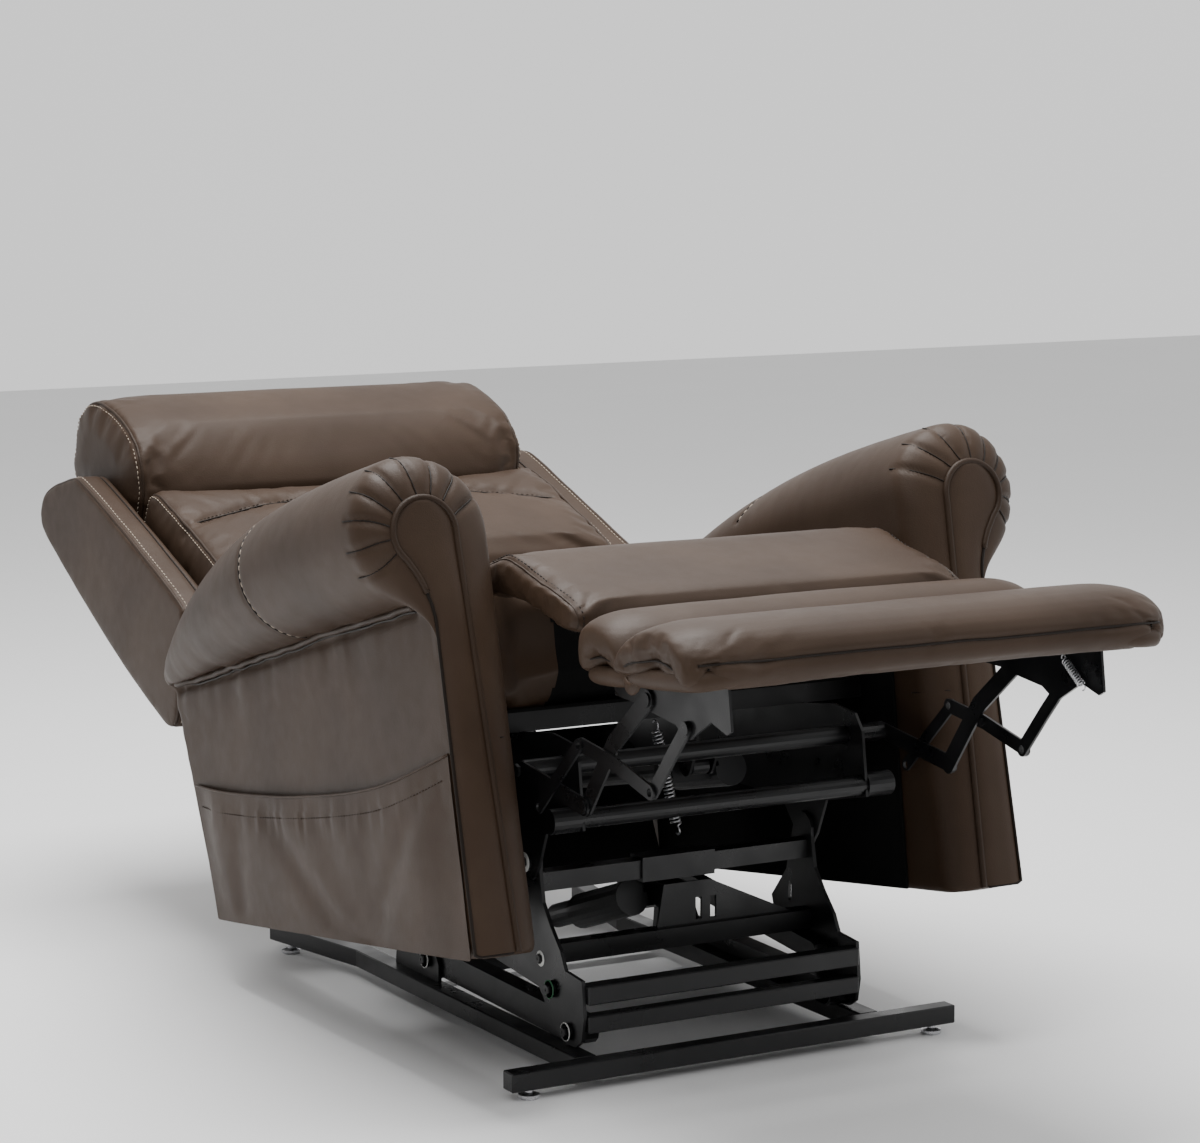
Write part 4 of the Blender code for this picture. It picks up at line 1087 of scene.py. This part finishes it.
def hardware():
    for name, side in SIDES:
        for joint, point, x, radius, body, washer in BOLTS:
            bolt("bolt_%s_%s" % (joint, name), point, side, x, radius, body, washer)
    springs()


def springs():
    for name, side in SIDES:
        low = SEAT @ Vector((side * 0.245, -0.400, 0.500))
        high = SEAT @ Vector((side * 0.245, -0.440, 0.460))
        coil("flap_coil_" + name, low, high, 0.0046, 0.0009, 11, "platform", 0.008)
    top = SEAT @ Vector((-0.018, 0.128, 0.437))
    low = SEAT @ Vector((0.010, 0.136, 0.286))
    spring = coil("balance_coil", top, low, 0.0066, 0.0011, 26, "seat", 0.014)
    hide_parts("balance_spring")


def dress_cad():
    """A finish for every CAD node that stays in view."""
    for name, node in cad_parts.items():
        mat = STEEL
        if name.startswith("levelling_foot"):
            mat = ZINC
        elif name.endswith("_rod"):
            mat = CHROME
        elif name.endswith("_motor"):
            mat = PLASTIC
        elif name.startswith("arm_liner") or name in ("seat_deck", "rear_valance"):
            mat = DUST_CLOTH
        elif name == "footrest_board":
            mat = BOARD
        node.data.materials.clear()
        node.data.materials.append(mat)


# ---------------------------------------------------------------- studio
FLOOR_HALF = 9.0


def studio():
    floor_mat, tree, shader = new_material("studio_floor", (0.86, 0.86, 0.86), 0.6)
    coord = tree.nodes.new("ShaderNodeTexCoord").outputs["Object"]
    cloud = texture(tree, "ShaderNodeTexNoise", coord, 3.0, Detail=2.0)
    tree.links.new(ramp(tree, cloud.outputs["Fac"], 0.3, 0.7, 0.55, 0.65), shader.inputs["Roughness"])
    corners = [(x * FLOOR_HALF, y * FLOOR_HALF, -0.0005) for x, y in ((-1, -1), (1, -1), (1, 1), (-1, 1))]
    floor = from_data("studio_floor", corners, [(0, 1, 2, 3)], floor_mat)
    world = bpy.data.worlds.new("studio")
    bpy.context.scene.world = world
    world.use_nodes = True
    nodes, links = world.node_tree.nodes, world.node_tree.links
    sky = nodes["Background"]
    sky.inputs["Color"].default_value = (1.0, 1.0, 1.0, 1.0)
    lean = nodes.new("ShaderNodeVectorMath")
    lean.operation = "DOT_PRODUCT"
    lean.inputs[1].default_value = (0.74, 0.66, 0.10)
    links.new(nodes.new("ShaderNodeTexCoord").outputs["Generated"], lean.inputs[0])
    links.new(ramp(world.node_tree, lean.outputs["Value"], -1.0, 1.0, 0.30, 1.10), sky.inputs["Strength"])
    lamp("key", (-1.8, -1.6, 3.4), (0.0, 0.2, 0.4), 3.0, 38)
    lamp("fill", (3.2, -2.2, 2.2), (0.0, 0.2, 0.4), 2.5, 15)
    lamp("top", (0.0, 0.5, 3.6), (0.0, 0.1, 0.4), 2.4, 205)
    camera_data = bpy.data.cameras.new("camera")
    camera_data.lens = 107.25
    camera_data.sensor_width = 36.0
    camera_data.shift_x = -0.027
    camera_data.clip_end = 60.0
    camera = bpy.data.objects.new("camera", camera_data)
    bpy.context.scene.collection.objects.link(camera)
    camera.location = BASE @ Vector((-2.301, -3.720, 1.246))
    aim = BASE @ Vector((0.0, 0.2759, 0.5958)) - camera.location
    camera.rotation_euler = aim.to_track_quat("-Z", "Y").to_euler()
    bpy.context.scene.camera = camera


def lamp(name, place, target, size, power):
    data = bpy.data.lights.new(name, "AREA")
    data.energy = power
    data.size = size
    obj = bpy.data.objects.new(name, data)
    bpy.context.scene.collection.objects.link(obj)
    obj.location = place
    obj.rotation_euler = (Vector(target) - Vector(place)).to_track_quat("-Z", "Y").to_euler()


studio()
dress_cad()
back_pads()
for label, direction in SIDES:
    wing(label, direction)
back_shell()
seat_pads()
for label, direction in SIDES:
    arm(label, direction)
pocket()
hardware()
bpy.data.scenes.remove(WORKSHOP)
